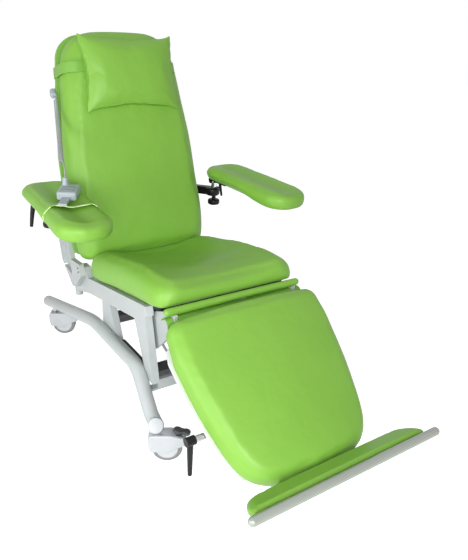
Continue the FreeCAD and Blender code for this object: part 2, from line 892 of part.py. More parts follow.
def back_frame():
    side = frame_side()
    rear = back_rear()
    shapes = [side, mirrored(side)]
    for place in crossbar_places:
        reach = rail_x + side_gap - weld_gap if place < frame_reach else spine_x + spine_wide
        bar = box(-reach, reach, place - crossbar_high / 2, place + crossbar_high / 2, rear - crossbar_deep,
                  rear)
        shapes.append(on_back(bar))
    spine = box(spine_x, spine_x + spine_wide, crossbar_places[0], crossbar_places[-1] + crossbar_high / 2,
                rear - crossbar_deep - weld_gap - spine_thick, rear - crossbar_deep - weld_gap)
    shapes += [on_back(spine), mirrored(on_back(spine))]
    for x in fork_places(-actuator_x):
        ear = side_plate([(crossbar_places[0] - crossbar_high / 2 - weld_gap, rear),
                          (crossbar_places[0] - crossbar_high / 2 - weld_gap, rear - crossbar_deep),
                          (-back_crank_drop - actuator_eye, -back_crank_deep - actuator_eye),
                          (-back_crank_drop - actuator_eye, -back_crank_deep + actuator_eye)],
                         side_gap, x, x + fork_thick)
        shapes.append(on_back(ear))
    return shapes


def fork_places(x):
    """Where the two ears of an actuator's fork start, either side of its eye."""
    gap = actuator_eye * eye_wide_share + side_gap
    return x - gap - fork_thick, x + gap


def hinge_pins():
    """Recline pins with their heads, and the tube that the legrest swings on."""
    outer = rail_x + side_gap + frame_wide
    pin = rod(hinge_pin_radius, Vector(rail_x - rail_wide, hinge_y, hinge_z),
              Vector(outer + hinge_head, hinge_y, hinge_z))
    head = rod(hinge_pin_radius + hinge_head / 2, Vector(outer + weld_gap, hinge_y, hinge_z),
               Vector(outer + hinge_head, hinge_y, hinge_z))
    pin = pin.fuse(head)
    reach = hinge_arm_x + hinge_head
    tube = pipe(leg_hinge_radius, leg_hinge_radius - tube_wall, Vector(-reach, leg_hinge_y, leg_hinge_z),
                Vector(reach, leg_hinge_y, leg_hinge_z))
    return [pin, mirrored(pin), tube]


def headrest_pillow():
    """A stuffed pillow with pinched ears: swollen slices between flat seams."""
    low = back_face() + strap_thick + strap_gap * 2
    slices = []
    for share in pillow_shares:
        swell = math.sqrt(math.sin(math.pi * share)) if 0 < share < 1 else 0.0
        half = pillow_half - pillow_waist * swell
        high = low + pillow_ear + (pillow_thick - pillow_ear) * swell
        seam = low + pillow_ear / 2
        y = back_length - pillow_from_top + pillow_length * share
        left, right = Vector(-half, y, low), Vector(half, y, low)
        seams = Vector(half, y, seam), Vector(-half, y, seam)
        slices.append(Part.Wire([Part.LineSegment(left, right).toShape(),
                                 Part.LineSegment(right, seams[0]).toShape(),
                                 Part.Arc(seams[0], Vector(0, y, high), seams[1]).toShape(),
                                 Part.LineSegment(seams[1], left).toShape()]))
    return [on_back(Part.makeLoft(slices, True, False))]


def pillow_strap():
    place = back_length - strap_from_top
    half = back_half_at(place) + strap_slack
    front, rear = back_face() + strap_gap, back_rear() - strap_gap
    inner = [(-half, front), (half, front), (half, rear), (-half, rear)]
    outer = [(-half - strap_thick, front + strap_thick), (half + strap_thick, front + strap_thick),
             (half + strap_thick, rear - strap_thick), (-half - strap_thick, rear - strap_thick)]
    rings = []
    for corners, bend in ((outer, strap_bend + strap_thick), (inner, strap_bend)):
        loop = rounded_loop([Vector(x, place, z) for x, z in corners], bend)
        rings.append(Part.Face(loop).extrude(Vector(0, strap_wide, 0)))
    return [on_back(rings[0].cut(rings[1]))]


# Armrests: each is modelled about its post, pad towards -Y, then turned out and placed
def arm_place(shape, side, turn):
    moved = shape.copy() if side > 0 else mirrored(shape)
    place = Placement(Vector(side * arm_x, arm_y, 0), Rotation(Vector(0, 0, 1), side * turn))
    moved.Placement = place.multiply(moved.Placement)
    return moved


def armrest_brackets():
    """Arms from the back frame's side plates out and forward to the sockets that hold the posts."""
    low, high = bracket_z - bracket_wide / 2, bracket_z + bracket_wide / 2
    foot = rail_x + side_gap + frame_wide + weld_gap
    foot_y = back_point(bracket_place, back_rear())[0] + frame_web
    arm = plan_plate([(foot, foot_y), (foot, foot_y + bracket_foot),
                      (arm_x + bracket_thick / 2, arm_y + bracket_thick),
                      (arm_x - bracket_thick / 2, arm_y - bracket_thick / 2)], side_gap, low, high)
    end = Vector(arm_x, arm_y, low)
    socket = Part.makeCone(bracket_low_ring, bracket_ring, bracket_wide, end, Vector(0, 0, 1))
    bore = rod(post_radius + running_gap, Vector(arm_x, arm_y, low + bracket_floor),
               Vector(arm_x, arm_y, high + overrun))
    screw = rod(knob_screw + running_gap, Vector(arm_x, arm_y, low - overrun), Vector(arm_x, arm_y, high))
    arm = arm.fuse(socket).cut(bore).cut(screw)
    return [arm, mirrored(arm)]


def pivot_z():
    return bracket_z + bracket_wide / 2 + post_length


def armrest_post():
    """Chrome post, with the trunnion on its top that the pad tilts on."""
    low = bracket_z - bracket_wide / 2 + bracket_floor + seat_gap
    half = head_wide / 2 - head_thick - side_gap
    post_rod = rod(post_radius, Vector(0, 0, low), Vector(0, 0, pivot_z() - trunnion_radius))
    neck = Part.makeCone(post_radius, trunnion_radius * half_square_share, trunnion_radius,
                         Vector(0, 0, pivot_z() - trunnion_radius), Vector(0, 0, 1))
    trunnion = rod(trunnion_radius, Vector(-half, 0, pivot_z()), Vector(half, 0, pivot_z()))
    bolt_hole = rod(head_bolt + running_gap, Vector(-head_wide, 0, pivot_z()),
                    Vector(head_wide, 0, pivot_z()))
    return post_rod.fuse(neck).fuse(trunnion).cut(bolt_hole)


def on_pad(shape):
    """Tilt a shape modelled about the pad's pivot with the pad."""
    return tilted(shape, pad_tilt, 0, pivot_z())


def armrest_head():
    """Black yoke under the pad: a plate, and two cheeks with the bolt through the trunnion."""
    top = pad_base()
    plate = box(pad_offset_x - head_wide, pad_offset_x + head_wide, -head_long, pad_rear - head_thick * 2,
                top - head_thick, top)
    yoke = plate
    for x in (-head_wide / 2, head_wide / 2 - head_thick):
        cheek = side_plate([(-trunnion_radius * cheek_share, top - head_thick / 2),
                            (-trunnion_radius, -trunnion_radius), (trunnion_radius, -trunnion_radius),
                            (trunnion_radius * cheek_share, top - head_thick / 2)],
                           trunnion_radius / 2, x, x + head_thick)
        yoke = yoke.fuse(cheek)
    yoke = yoke.fuse(rod(head_bolt, Vector(-head_wide / 2, 0, 0), Vector(head_wide / 2, 0, 0)))
    return on_pad(yoke)


def pad_base():
    """Height of the pad's underside above its pivot."""
    return trunnion_radius + side_gap + head_thick


def pad_solid(grow):
    corner, low = pad_corner + grow, pad_base() + seat_gap
    return soft_plate(pad_offset_x - pad_half - grow, pad_offset_x + pad_half + grow,
                      pad_rear - pad_length - grow, pad_rear + grow, (corner, corner), low - grow,
                      low + pad_thick + grow, (pad_low_round + grow, pad_round + grow))


def armrest_pad():
    return on_pad(pad_solid(0))


def armrest_knob():
    """Lobed clamp knob under the bracket's socket, on the post's axis."""
    top = bracket_z - bracket_wide / 2 - seat_gap
    head = top - knob_drop
    neck = rod(knob_neck, Vector(0, 0, head), Vector(0, 0, top))
    cap = rod(knob_radius * knob_core_share, Vector(0, 0, head - knob_high), Vector(0, 0, head))
    lobe = knob_radius - knob_radius * knob_core_share
    for i in range(knob_lobes):
        turn = 2 * math.pi * i / knob_lobes
        out = Vector(math.cos(turn), math.sin(turn), 0) * (knob_radius - lobe)
        cap = cap.fuse(rod(lobe, out + Vector(0, 0, head - knob_high), out + Vector(0, 0, head)))
    screw = rod(knob_screw, Vector(0, 0, head), Vector(0, 0, top + bracket_floor))
    return neck.fuse(cap).fuse(screw)


def tilt_lever():
    """Small clamp lever on the outer end of the yoke's bolt."""
    start = head_wide / 2 + seat_gap
    hub = rod(tilt_hub_radius, Vector(start, 0, 0), Vector(start + tilt_hub_long, 0, 0))
    arm = Part.makeCone(tilt_lever_radius, tilt_lever_tip, tilt_lever_long,
                        Vector(start + tilt_hub_long / 2, 0, 0), Vector(lever_lean_share, 0, -1))
    return on_pad(hub.fuse(arm))


# Sleeve, handset and cord: all on the left armrest, in the pad's frame before it's placed
def armrest_sleeve():
    """Upholstered cover over the rear of the pad, open underneath and in front."""
    shell = pad_solid(sleeve_gap + sleeve_thick).cut(pad_solid(sleeve_gap))
    keep = box(-pad_length, pad_length, pad_rear - sleeve_edge, pad_length, pad_base() + sleeve_hem,
               pad_length)
    cover = max(shell.common(keep).Solids, key=lambda solid: solid.Volume)
    return on_pad(cover)


def on_sleeve(shape):
    """Lay a shape of the handset on the sleeve, turned as it lies."""
    rise = pad_base() + seat_gap + pad_thick + sleeve_gap + sleeve_thick
    turn = Rotation(Vector(0, 0, 1), handset_turn)
    lay = Placement(Vector(pad_offset_x - handset_shift, pad_rear - handset_place, rise + handset_rise),
                    turn)
    frame = Placement(Vector(0, 0, pivot_z()), Rotation(Vector(1, 0, 0), pad_tilt))
    moved = shape.copy()
    moved.Placement = frame.multiply(lay)
    return moved


def button_middles():
    return handset_long * button_place_shares[0], handset_long * button_place_shares[1]


def neck_root():
    return Vector(handset_neck_x, handset_long / 2 - handset_round - handset_neck_radius,
                  handset_high - handset_round)


def handset():
    """Handset with two rocker pockets, a cord neck at its rear and a hook over the sleeve's edge."""
    end = handset_long / 2
    body = soft_box(-handset_wide / 2, handset_wide / 2, -end, end, 0, handset_high, handset_round)
    half_x, half_y = button_wide / 2 + button_gap, button_long / 2 + button_gap
    floor = handset_high - button_high - button_proud
    for y in button_middles():
        body = body.cut(box(-half_x, half_x, y - half_y, y + half_y, floor, handset_high + overrun))
    neck = Part.makeCone(handset_neck_radius, handset_neck_radius * spout_share, handset_neck_high,
                         neck_root(), Vector(0, 0, 1))
    hook = box(-hook_wide / 2, hook_wide / 2, -end - hook_reach, handset_round - end, handset_round,
               handset_round + hook_thick)
    return on_sleeve(body.fuse(neck).fuse(hook))


def handset_button(y):
    button = soft_box(-button_wide / 2, button_wide / 2, y - button_long / 2, y + button_long / 2,
                      handset_high - button_high, handset_high + button_proud, button_gap)
    return on_sleeve(button)


def neck_top():
    """The top of the handset's cord neck, and the way that it points."""
    tip = neck_root() + Vector(0, 0, handset_neck_high)
    ends = [arm_place(on_sleeve(Part.Vertex(point)), -1, 0).Vertexes[0].Point
            for point in (tip, tip + Vector(0, 0, cord_outer))]
    return ends[0], (ends[1] - ends[0]).normalize()


def tail_points():
    """The plain lead: up from the neck, then round towards the elbow in two turns."""
    tip, up = neck_top()
    way = cord_exit()[2]
    rise = tip + up * tail_run
    corner = rise + (up + way).normalize() * tail_run
    return [tip, rise, corner, corner + way * tail_run]


def cord_tail():
    points = tail_points()
    radii = [largest_bend(points[i], points[i + 1], points[i + 2]) for i in range(2)]
    print("cord_tail radii", [round(radius, 1) for radius in radii])
    return swept_rod(points, radii, cord_wire / 2)


def largest_bend(before, corner, after):
    turn = (corner - before).getAngle(after - corner)
    run = min((corner - before).Length, (after - corner).Length)
    return run * bend_run_share / math.tan(turn / 2)


def biarc(start, start_way, end, end_way):
    """Two tangent arcs from one point and direction to another."""
    chord = end - start
    both = start_way + end_way
    spread = 2 * (1 - start_way.dot(end_way))
    reach = (-chord.dot(both) + math.sqrt(chord.dot(both) ** 2 + spread * chord.dot(chord))) / spread
    first, second = start + start_way * reach, end - end_way * reach
    joint = (first + second) * half_square_share
    edges = []
    for a, peak, b in ((start, first, joint), (joint, second, end)):
        middle = (a + b) * half_square_share
        cosine = (b - a).Length / (peak - a).Length / 2
        edges.append(Part.Arc(a, middle + (peak - middle) * (cosine / (1 + cosine)), b).toShape())
    return edges


def curl_frame():
    """Both ends of the axis that the curls wind round, and two directions across it."""
    mouth, low = cord_exit()[1], tail_points()[-1]
    along = (low - mouth).normalize()
    side = along.cross(Vector(1, 0, 0)).normalize()
    up = side.cross(along)
    reach = (cord_outer - cord_wire) / 2
    lead = along * (cord_wire + reach)
    return mouth + lead - side * reach + up * reach, low - lead - side * reach - up * reach, side, up


def curl(turns):
    """A point on the helix and its direction, a number of turns from its top."""
    top, low, side, up = curl_frame()
    count = cord_half_turns / 2
    share = turns / count
    sag = cord_sag * 4 * share * (1 - share)
    angle = 2 * math.pi * turns
    reach = (cord_outer - cord_wire) / 2
    out = side * math.cos(angle) + up * math.sin(angle)
    sideways = up * math.cos(angle) - side * math.sin(angle)
    slope = Vector(0, 0, -cord_sag) * ((4 - 8 * share) / count)
    way = (sideways * (2 * math.pi * reach) + (low - top) * (1 / count) + slope).normalize()
    return top + (low - top) * share - Vector(0, 0, sag) + out * reach, way


def curly_cord():
    """The curls as one tube on arcs, with a straight lead at each end."""
    mouth, low = cord_exit()[1], tail_points()[-1]
    way = cord_exit()[2] * -1
    start, end = mouth + way * cord_wire, low - way * cord_wire
    edges = [Part.LineSegment(mouth, start).toShape()]
    stops = [(start, way)] + [curl(i / 2) for i in range(cord_half_turns + 1)] + [(end, way)]
    for (a, a_way), (b, b_way) in zip(stops, stops[1:]):
        edges += biarc(a, a_way, b, b_way)
    edges.append(Part.LineSegment(end, low).toShape())
    path = Part.Wire(edges)
    ring = Part.Wire(Part.Circle(mouth, way, cord_wire / 2).toShape())
    cord = path.makePipeShell([ring], True, False)
    least = min(edge.Curve.Radius for edge in edges if hasattr(edge.Curve, "Radius"))
    print("curly_cord length", round(path.Length), "least radius", round(least, 2),
          "volume share", round(cord.Volume / (path.Length * math.pi * cord_wire ** 2 / 4), 4))
    print("curly_cord least gap to itself", round(self_gap(edges), 2))
    return cord


def self_gap(edges):
    """Least gap between stretches of the wire at least a turn third apart."""
    points = [edge.valueAt(edge.FirstParameter + (edge.LastParameter - edge.FirstParameter) * i / gap_steps)
              for edge in edges for i in range(gap_steps)]
    apart = gap_steps * 2
    near = [(points[i] - points[j]).Length for i in range(len(points))
            for j in range(i + apart, min(i + apart * 4, len(points)))]
    return min(near) - cord_wire


# Legrest: its pad runs down the leg, from y zero towards -Y
def leg_half_at(place):
    return leg_half * between(leg_half_shares, 1 - place / leg_length)


def leg_cushion():
    cushion = pad_loft(-leg_length, leg_length, leg_half_at, lambda place: 0.0, -leg_thick, leg_edge,
                       leg_crown, (leg_low_corner, leg_corner))
    return [on_leg(cushion)]


def leg_board():
    """Board under the pad, a little proud of it so that its edge shows."""
    right = [(leg_half * value + leg_board_proud, -leg_length * share)
             for share, value in leg_half_shares[1:-2]]
    top_x, low_x = leg_half * leg_half_shares[0][1], leg_half * leg_half_shares[-1][1]
    right = [(top_x - leg_corner, -leg_board_in), (top_x, -leg_corner)] + right
    right.append((low_x + leg_board_proud * 2, -leg_length + leg_low_corner / 2))
    right.append((low_x - leg_corner, -leg_length + leg_board_in))
    points = right + [(-x, y) for x, y in reversed(right)]
    top = -leg_thick - seat_gap
    return [on_leg(plan_plate(points, rail_round, top - board_thick, top))]


def guide_z():
    """Height of the guides' middle in the leg's own frame."""
    return -leg_thick - seat_gap - board_thick - weld_gap - guide_size / 2


def leg_hinge_local():
    frame = Placement(Vector(0, leg_y, leg_z), Rotation(Vector(1, 0, 0), leg_angle))
    local = frame.inverse().multVec(Vector(0, leg_hinge_y, leg_hinge_z))
    return local.y, local.z


def leg_guide():
    """A square guide tube along the leg, on the +X side."""
    z = guide_z()
    half, bore = guide_size / 2, guide_size / 2 - guide_wall
    guide = box(guide_x - half, guide_x + half, -guide_end, -guide_start, z - half, z + half)
    return guide.cut(box(guide_x - bore, guide_x + bore, -guide_end - overrun, -guide_start + overrun,
                         z - bore, z + bore))


def leg_lug():
    """The arm from a guide to its eye on the hinge tube, on the +X side."""
    y, z = leg_hinge_local()
    top, low = guide_z() + guide_size / 2, guide_z() - guide_size / 2
    x0 = guide_x + guide_size / 2 + weld_gap
    tail = -guide_start - guide_size * 2
    arm = side_plate([(tail, top), (tail, low), (y, z - lug_radius), (y, z), (-leg_board_in, top)], side_gap,
                     x0, x0 + lug_thick)
    eye = rod(lug_radius, Vector(x0, y, z), Vector(x0 + lug_thick, y, z))
    bore = rod(leg_hinge_radius + running_gap, Vector(0, y, z), Vector(leg_half, y, z))
    return arm.fuse(eye).cut(bore)


def clamp_plate():
    """Plate under the board's left edge that carries the clamp lever's shaft."""
    top, low = guide_z() + guide_size / 2, guide_z() - guide_size / 2
    plate = box(-clamp_plate_x - fork_thick, -clamp_plate_x, -clamp_place - guide_size,
                -clamp_place + guide_size, low - weld_gap, top)
    bore = rod(clamp_collar_radius + running_gap, Vector(-leg_half, -clamp_place, guide_z()),
               Vector(0, -clamp_place, guide_z()))
    return plate.cut(bore)


def leg_frame():
    """Two guides with cross-bars, the hinge lugs, the clamp's plate and the actuator's fork."""
    z, half = guide_z(), guide_size / 2
    guide, lug = leg_guide(), leg_lug()
    hole = rod(clamp_screw_radius + running_gap, Vector(-guide_x - guide_size, -clamp_place, z),
               Vector(-guide_x, -clamp_place, z))
    shapes = [guide, mirrored(guide).cut(hole), lug, mirrored(lug), clamp_plate()]
    inner = guide_x - half - weld_gap
    for place in (guide_start + half, guide_end - guide_size):
        shapes.append(box(-inner, inner, -place - half, -place + half, z - half, z + half))
    for x in fork_places(actuator_x):
        shapes.append(side_plate([(-leg_crank_place + guide_size, z + half),
                                  (-leg_crank_place - guide_size, z + half),
                                  (-leg_crank_place - actuator_eye, -leg_crank_drop - actuator_eye),
                                  (-leg_crank_place + actuator_eye, -leg_crank_drop - actuator_eye)],
                                 side_gap, x, x + fork_thick))
    return [on_leg(shape) for shape in shapes]


def gap_roll():
    """Soft roll that bridges the gap between the seat and the legrest."""
    reach = roll_half - roll_radius
    roll = rod(roll_radius, Vector(-reach, roll_y, roll_z), Vector(reach, roll_y, roll_z))
    for side in (-1, 1):
        roll = roll.fuse(Part.makeSphere(roll_radius, Vector(side * reach, roll_y, roll_z)))
    return [roll]


# Footrest: modelled about its bar, with +Y down towards the leg's end
def footrest_bar():
    reach = bar_half - bar_radius
    bar = rod(bar_radius, Vector(-reach, 0, 0), Vector(reach, 0, 0))
    for side in (-1, 1):
        bar = bar.fuse(Part.makeSphere(bar_radius, Vector(side * reach, 0, 0)))
    return [on_foot(bar)]


def footrest_plate():
    """Bent plate from the bar under the pad to the slides' end plate."""
    low = -foot_pad_thick / 2 - foot_plate_thick
    front = bar_radius + weld_gap
    knee, tongue = front + foot_plate_deep, front + foot_plate_deep + foot_tongue
    right = [(foot_plate_half, front), (foot_plate_half, front + foot_plate_deep / 2),
             (foot_bracket_half + foot_pad_corner, knee), (foot_bracket_half, knee),
             (foot_bracket_half, tongue)]
    points = [(x, y) for x, y in right] + [(-x, y) for x, y in reversed(right)]
    plate = plan_plate(points, rail_round, low, low + foot_plate_thick)
    lip = box(-foot_plate_half + rail_round, foot_plate_half - rail_round, front, front + foot_plate_thick,
              low, 0)
    face = -leg_length - side_gap
    tail = box(-foot_bracket_half, foot_bracket_half, face - foot_bracket_thick, face,
               guide_z() - guide_size / 2, -leg_thick * foot_bracket_share)
    beyond = box(-foot_plate_half, foot_plate_half, face, 0, -leg_length, leg_length)
    return [on_foot(plate.fuse(lip)).fuse(on_leg(tail)).cut(on_leg(beyond))]


def footrest_pad():
    low = -foot_pad_thick / 2 + seat_gap
    start = bar_radius + weld_gap + foot_plate_thick + side_gap
    pad = soft_plate(-foot_pad_half, foot_pad_half, start, start + foot_pad_deep,
                     (foot_pad_edge, foot_pad_corner), low, low + foot_pad_thick,
                     (foot_pad_edge / 2, foot_pad_edge - side_gap))
    return [on_foot(pad)]


def footrest_slides():
    """Two bars that run in the leg's guides."""
    half = guide_size / 2 - guide_wall - slide_gap
    face, z = -leg_length - side_gap, guide_z()
    bar = box(guide_x - half, guide_x + half, face + weld_gap, -guide_end + foot_travel * slide_hold_share,
              z - half, z + half)
    return [on_leg(bar), mirrored(on_leg(bar))]


def footrest_lever():
    """Clamp lever of the slides: screw, shaft, hub and a hanging arm."""
    y, z = leg_point(-clamp_place, guide_z())
    hub_end = -clamp_x - clamp_hub_long
    screw = rod(clamp_screw_radius, Vector(-clamp_x, y, z),
                Vector(-guide_x - guide_size / 2 + guide_wall, y, z))
    shaft = rod(clamp_collar_radius, Vector(-clamp_x, y, z), Vector(-clamp_plate_x + fork_thick, y, z))
    hub = rod(clamp_hub_radius, Vector(hub_end, y, z), Vector(-clamp_x, y, z))
    root = Vector((hub_end - clamp_x) / 2, y, z)
    arm = Part.makeCone(clamp_arm_root, clamp_arm_tip, clamp_arm_long, root, Vector(0, 0, -1))
    tip = Part.makeSphere(clamp_arm_tip, root - Vector(0, 0, clamp_arm_long))
    return [screw.fuse(shaft).fuse(hub).fuse(arm).fuse(tip)]


# Actuators: the housing swings on the base, its ram reaches the moving frame
def actuator(base, tip, x, outward):
    """Housing and ram along the line from the base pin to the ram's eye."""
    start, end = Vector(x, base[0], base[1]), Vector(x, tip[0], tip[1])
    along = (end - start).normalize()
    half_eye = Vector(actuator_eye * eye_wide_share, 0, 0)
    mouth = start + along * ((end - start).Length - ram_bare)
    jacket = rod(jacket_radius, start + along * (actuator_eye * 2), mouth)
    beside = Vector(outward * (jacket_radius + motor_radius + side_gap), 0, 0)
    motor = rod(motor_radius, start + beside + along * (actuator_eye * 2),
                start + beside + along * (actuator_eye * 2 + motor_long))
    head = rod(jacket_radius + gear_wall, start + along * (actuator_eye * 2),
               start + along * (actuator_eye * 2 + gear_long))
    block = rod(motor_radius + gear_wall, start + beside + along * (actuator_eye * 2),
                start + beside + along * (actuator_eye * 2 + gear_long))
    eye = rod(actuator_eye, start - half_eye, start + half_eye)
    eye = eye.fuse(rod(actuator_eye * eye_wide_share, start, start + along * actuator_eye * 2))
    pin_hole = rod(actuator_pin + running_gap, start - half_eye * 2, start + half_eye * 2)
    bore = rod(ram_radius + running_gap, start + along * (actuator_eye * 2 + gear_long),
               mouth + along * overrun)
    housing = jacket.fuse(motor).fuse(head).fuse(block).fuse(eye).cut(pin_hole).cut(bore)
    ram = rod(ram_radius, mouth - along * ram_hold, end - along * (actuator_eye / 2))
    ram = ram.fuse(rod(actuator_eye, end - half_eye, end + half_eye))
    return housing, ram.cut(rod(actuator_pin + running_gap, end - half_eye * 2, end + half_eye * 2))


def back_actuator():
    return actuator((back_base_y, back_base_z), back_point(-back_crank_drop, -back_crank_deep), -actuator_x,
                    -1)


def leg_actuator():
    return actuator((leg_base_y, leg_base_z), leg_point(-leg_crank_place, -leg_crank_drop), actuator_x, 1)


def base_forks():
    """Forks with their pins that hold the two actuators' fixed ends."""
    low = -board_thick - weld_gap * 2 - seat_beam_high
    front, rear = (seat_beam_places[0] + side * seat_beam_deep / 2 for side in (-1, 1))
    hanging = [seat_point(front, low), (back_base_y - actuator_eye, back_base_z - actuator_eye),
               (back_base_y + actuator_eye, back_base_z - actuator_eye),
               (back_base_y + actuator_eye, back_base_z), seat_point(rear, low)]
    edge = beam_y - beam_deep / 2 - weld_gap
    reaching = [(edge, beam_z + beam_high / 2), (leg_base_y, leg_base_z + actuator_eye),
                (leg_base_y - actuator_eye, leg_base_z), (leg_base_y, leg_base_z - actuator_eye),
                (edge, beam_z - beam_high / 2)]
    shapes = []
    for x, y, z, outline in ((-actuator_x, back_base_y, back_base_z, hanging),
                             (actuator_x, leg_base_y, leg_base_z, reaching)):
        first, second = fork_places(x)
        fork = [side_plate(outline, side_gap, start, start + fork_thick) for start in (first, second)]
        pin = rod(actuator_pin, Vector(first, y, z), Vector(second + fork_thick, y, z))
        shapes.append(fork[0].fuse(pin).fuse(fork[1]))
    return shapes


def control_box():
    y, z = seat_point(control_place, -board_thick - weld_gap)
    shape = soft_box(control_x - control_wide / 2, control_x + control_wide / 2, -control_long / 2,
                     control_long / 2, -control_high, 0, rail_round / 2)
    return [tilted(shape, -seat_tilt, y, z)]


def leg_cable():
    """The legrest motor's lead, from the front seat beam down to the tray."""
    points = [Vector(*place) for place in cable_route]
    radii = [largest_bend(points[i], points[i + 1], points[i + 2]) for i in range(len(points) - 2)]
    print("leg_motor_cable radii", [round(radius) for radius in radii])
    return [swept_rod(points, radii, cable_radius)]


def pole_socket():
    """Socket for an infusion pole, behind the left rail's tail."""
    y = rail_tail_y + weld_gap + socket_wall + socket_radius
    low, high = rail_tail_z - socket_long / 2, rail_tail_z + socket_long / 2
    tube = pipe(socket_radius + socket_wall, socket_radius, Vector(-socket_x, y, low),
                Vector(-socket_x, y, high))
    hole = rod(socket_screw + running_gap, Vector(-socket_x, y, rail_tail_z),
               Vector(-socket_x, y + socket_long, rail_tail_z))
    return tube.cut(hole)


def frame_knob():
    """Clamp knob of the pole socket, its screw through the socket's rear wall."""
    inside = rail_tail_y + weld_gap + socket_wall + socket_radius * 2
    head = inside + socket_wall + seat_gap
    screw = rod(socket_screw, Vector(-socket_x, inside + seat_gap, rail_tail_z),
                Vector(-socket_x, head + frame_knob_long, rail_tail_z))
    grip = rod(frame_knob_radius, Vector(-socket_x, head, rail_tail_z),
               Vector(-socket_x, head + frame_knob_long, rail_tail_z))
    return [screw.fuse(grip)]


# Write every node's solids to its own file
def save(name, shapes):
    solids = [solid for shape in shapes for solid in shape.Solids]
    for solid in solids:
        if not solid.isValid() or solid.Volume <= 0:
            print("BAD", name)
    Part.makeCompound(solids).exportStep("parts/" + name + ".step")
    print(name, len(solids), round(sum(solid.Volume for solid in solids) / 1000))


if __name__ == "__main__":
    os.makedirs("parts", exist_ok=True)
    save("side_tubes", side_tubes())
    save("tube_end_caps", tube_end_caps())
    save("castor_stems", castor_stems())
    save("seat_rails", seat_rails() + [pole_socket()])
    save("posts", posts())
    save("cross_tubes", cross_tubes())
    save("cross_beams", cross_beams())
    save("seat_board", seat_board())
    save("seat_cushion", seat_cushion())
    save("hinge_pins", hinge_pins())
    save("gap_roll", gap_roll())
    save("control_box", control_box())
    save("leg_motor_cable", leg_cable())
    save("back_frame", back_frame())
    save("back_shell", back_shell())
    save("back_cushion", back_cushion())
    save("headrest_pillow", headrest_pillow())
    save("pillow_strap", pillow_strap())
    save("armrest_brackets", armrest_brackets())
    save("frame_knob", frame_knob())
    for name, side, turn in (("left", -1, 0), ("right", 1, arm_turn)):
        save("armrest_post_" + name, [arm_place(armrest_post(), side, turn)])
        save("armrest_head_" + name, [arm_place(armrest_head(), side, turn)])
        save("armrest_pad_" + name, [arm_place(armrest_pad(), side, turn)])
        save("armrest_lever_" + name, [arm_place(tilt_lever(), side, turn)])
        save("armrest_knob_" + name, [arm_place(armrest_knob(), side, turn)])
    save("armrest_sleeve", [arm_place(armrest_sleeve(), -1, 0)])
    save("handset", [arm_place(handset(), -1, 0)])
    for name, y in zip(("back", "leg"), button_middles()):
        save("handset_button_" + name, [arm_place(handset_button(y), -1, 0)])
    save("curly_cord", [curly_cord()])
    save("cord_tail", [cord_tail()])
    save("leg_frame", leg_frame())
    save("leg_board", leg_board())
    save("leg_cushion", leg_cushion())
    save("footrest_slides", footrest_slides())
    save("footrest_plate", footrest_plate())
    save("footrest_pad", footrest_pad())
    save("footrest_bar", footrest_bar())
    save("footrest_lever", footrest_lever())
    for name, (housing, ram) in (("back", back_actuator()), ("leg", leg_actuator())):
        save(name + "_actuator", [housing])
        save(name + "_ram", [ram])
    corners = {"front_left": (-1, -stem_y), "front_right": (1, -stem_y), "rear_left": (-1, stem_y),
               "rear_right": (1, stem_y)}
    for name, (side, y) in corners.items():
        save("castor_hood_" + name, [castor_place(castor_hood(), side, y)])
        save("castor_wheel_" + name, [castor_place(shape, side, y) for shape in castor_wheel()])
        save("castor_pedal_" + name, [castor_place(castor_pedal(), side, y)])
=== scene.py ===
# %% [markdown]
# # A reclining phlebotomy chair
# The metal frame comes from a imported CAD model. Here the soft pads, the cords and the small
# trim are made round it, every surface gets a finish, and the chair is set in a plain studio.

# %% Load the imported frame
import math

import bpy
from mathutils import Matrix, Vector


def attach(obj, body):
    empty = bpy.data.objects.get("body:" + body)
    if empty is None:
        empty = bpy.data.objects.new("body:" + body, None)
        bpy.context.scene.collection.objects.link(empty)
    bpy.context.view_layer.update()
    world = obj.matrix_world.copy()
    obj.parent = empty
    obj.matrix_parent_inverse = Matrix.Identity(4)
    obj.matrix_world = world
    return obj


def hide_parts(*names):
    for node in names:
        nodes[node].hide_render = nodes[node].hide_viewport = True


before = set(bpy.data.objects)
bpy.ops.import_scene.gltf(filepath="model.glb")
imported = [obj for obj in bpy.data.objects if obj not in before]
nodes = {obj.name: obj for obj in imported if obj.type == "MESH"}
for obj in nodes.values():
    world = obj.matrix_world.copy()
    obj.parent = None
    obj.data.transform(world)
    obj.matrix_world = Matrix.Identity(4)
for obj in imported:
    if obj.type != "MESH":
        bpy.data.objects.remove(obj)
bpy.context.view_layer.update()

# %% [markdown]
# The camera stands where the photographer stood: in front of the chair, to its right hand
# side and above it. Its three angles were solved from points whose places are known, such as
# the wheels on the floor. The roll is small, but the frame's lines show it. In the names of
# pieces, left and right are as the camera sees them.

# %% The camera
focal_length = 37.53
camera_place = Vector((-0.9942, -1.9226, 1.3204))
yaw, pitch, roll = (math.radians(angle) for angle in (34.57, 23.1, 2.354))
forward = Vector((math.sin(yaw) * math.cos(pitch), math.cos(yaw) * math.cos(pitch), -math.sin(pitch)))
level = Vector((math.cos(yaw), -math.sin(yaw), 0))
above = level.cross(forward)
camera_right = level * math.cos(roll) + above * math.sin(roll)
camera_up = above * math.cos(roll) - level * math.sin(roll)
camera_data = bpy.data.cameras.new("camera")
camera_data.lens = focal_length
camera = bpy.data.objects.new("camera", camera_data)
turned = Matrix((camera_right, camera_up, -forward)).transposed()
camera.matrix_world = Matrix.Translation(camera_place) @ turned.to_4x4()
bpy.context.scene.collection.objects.link(camera)
bpy.context.scene.camera = camera
print("camera at", tuple(round(value, 3) for value in camera_place), "lens", focal_length)

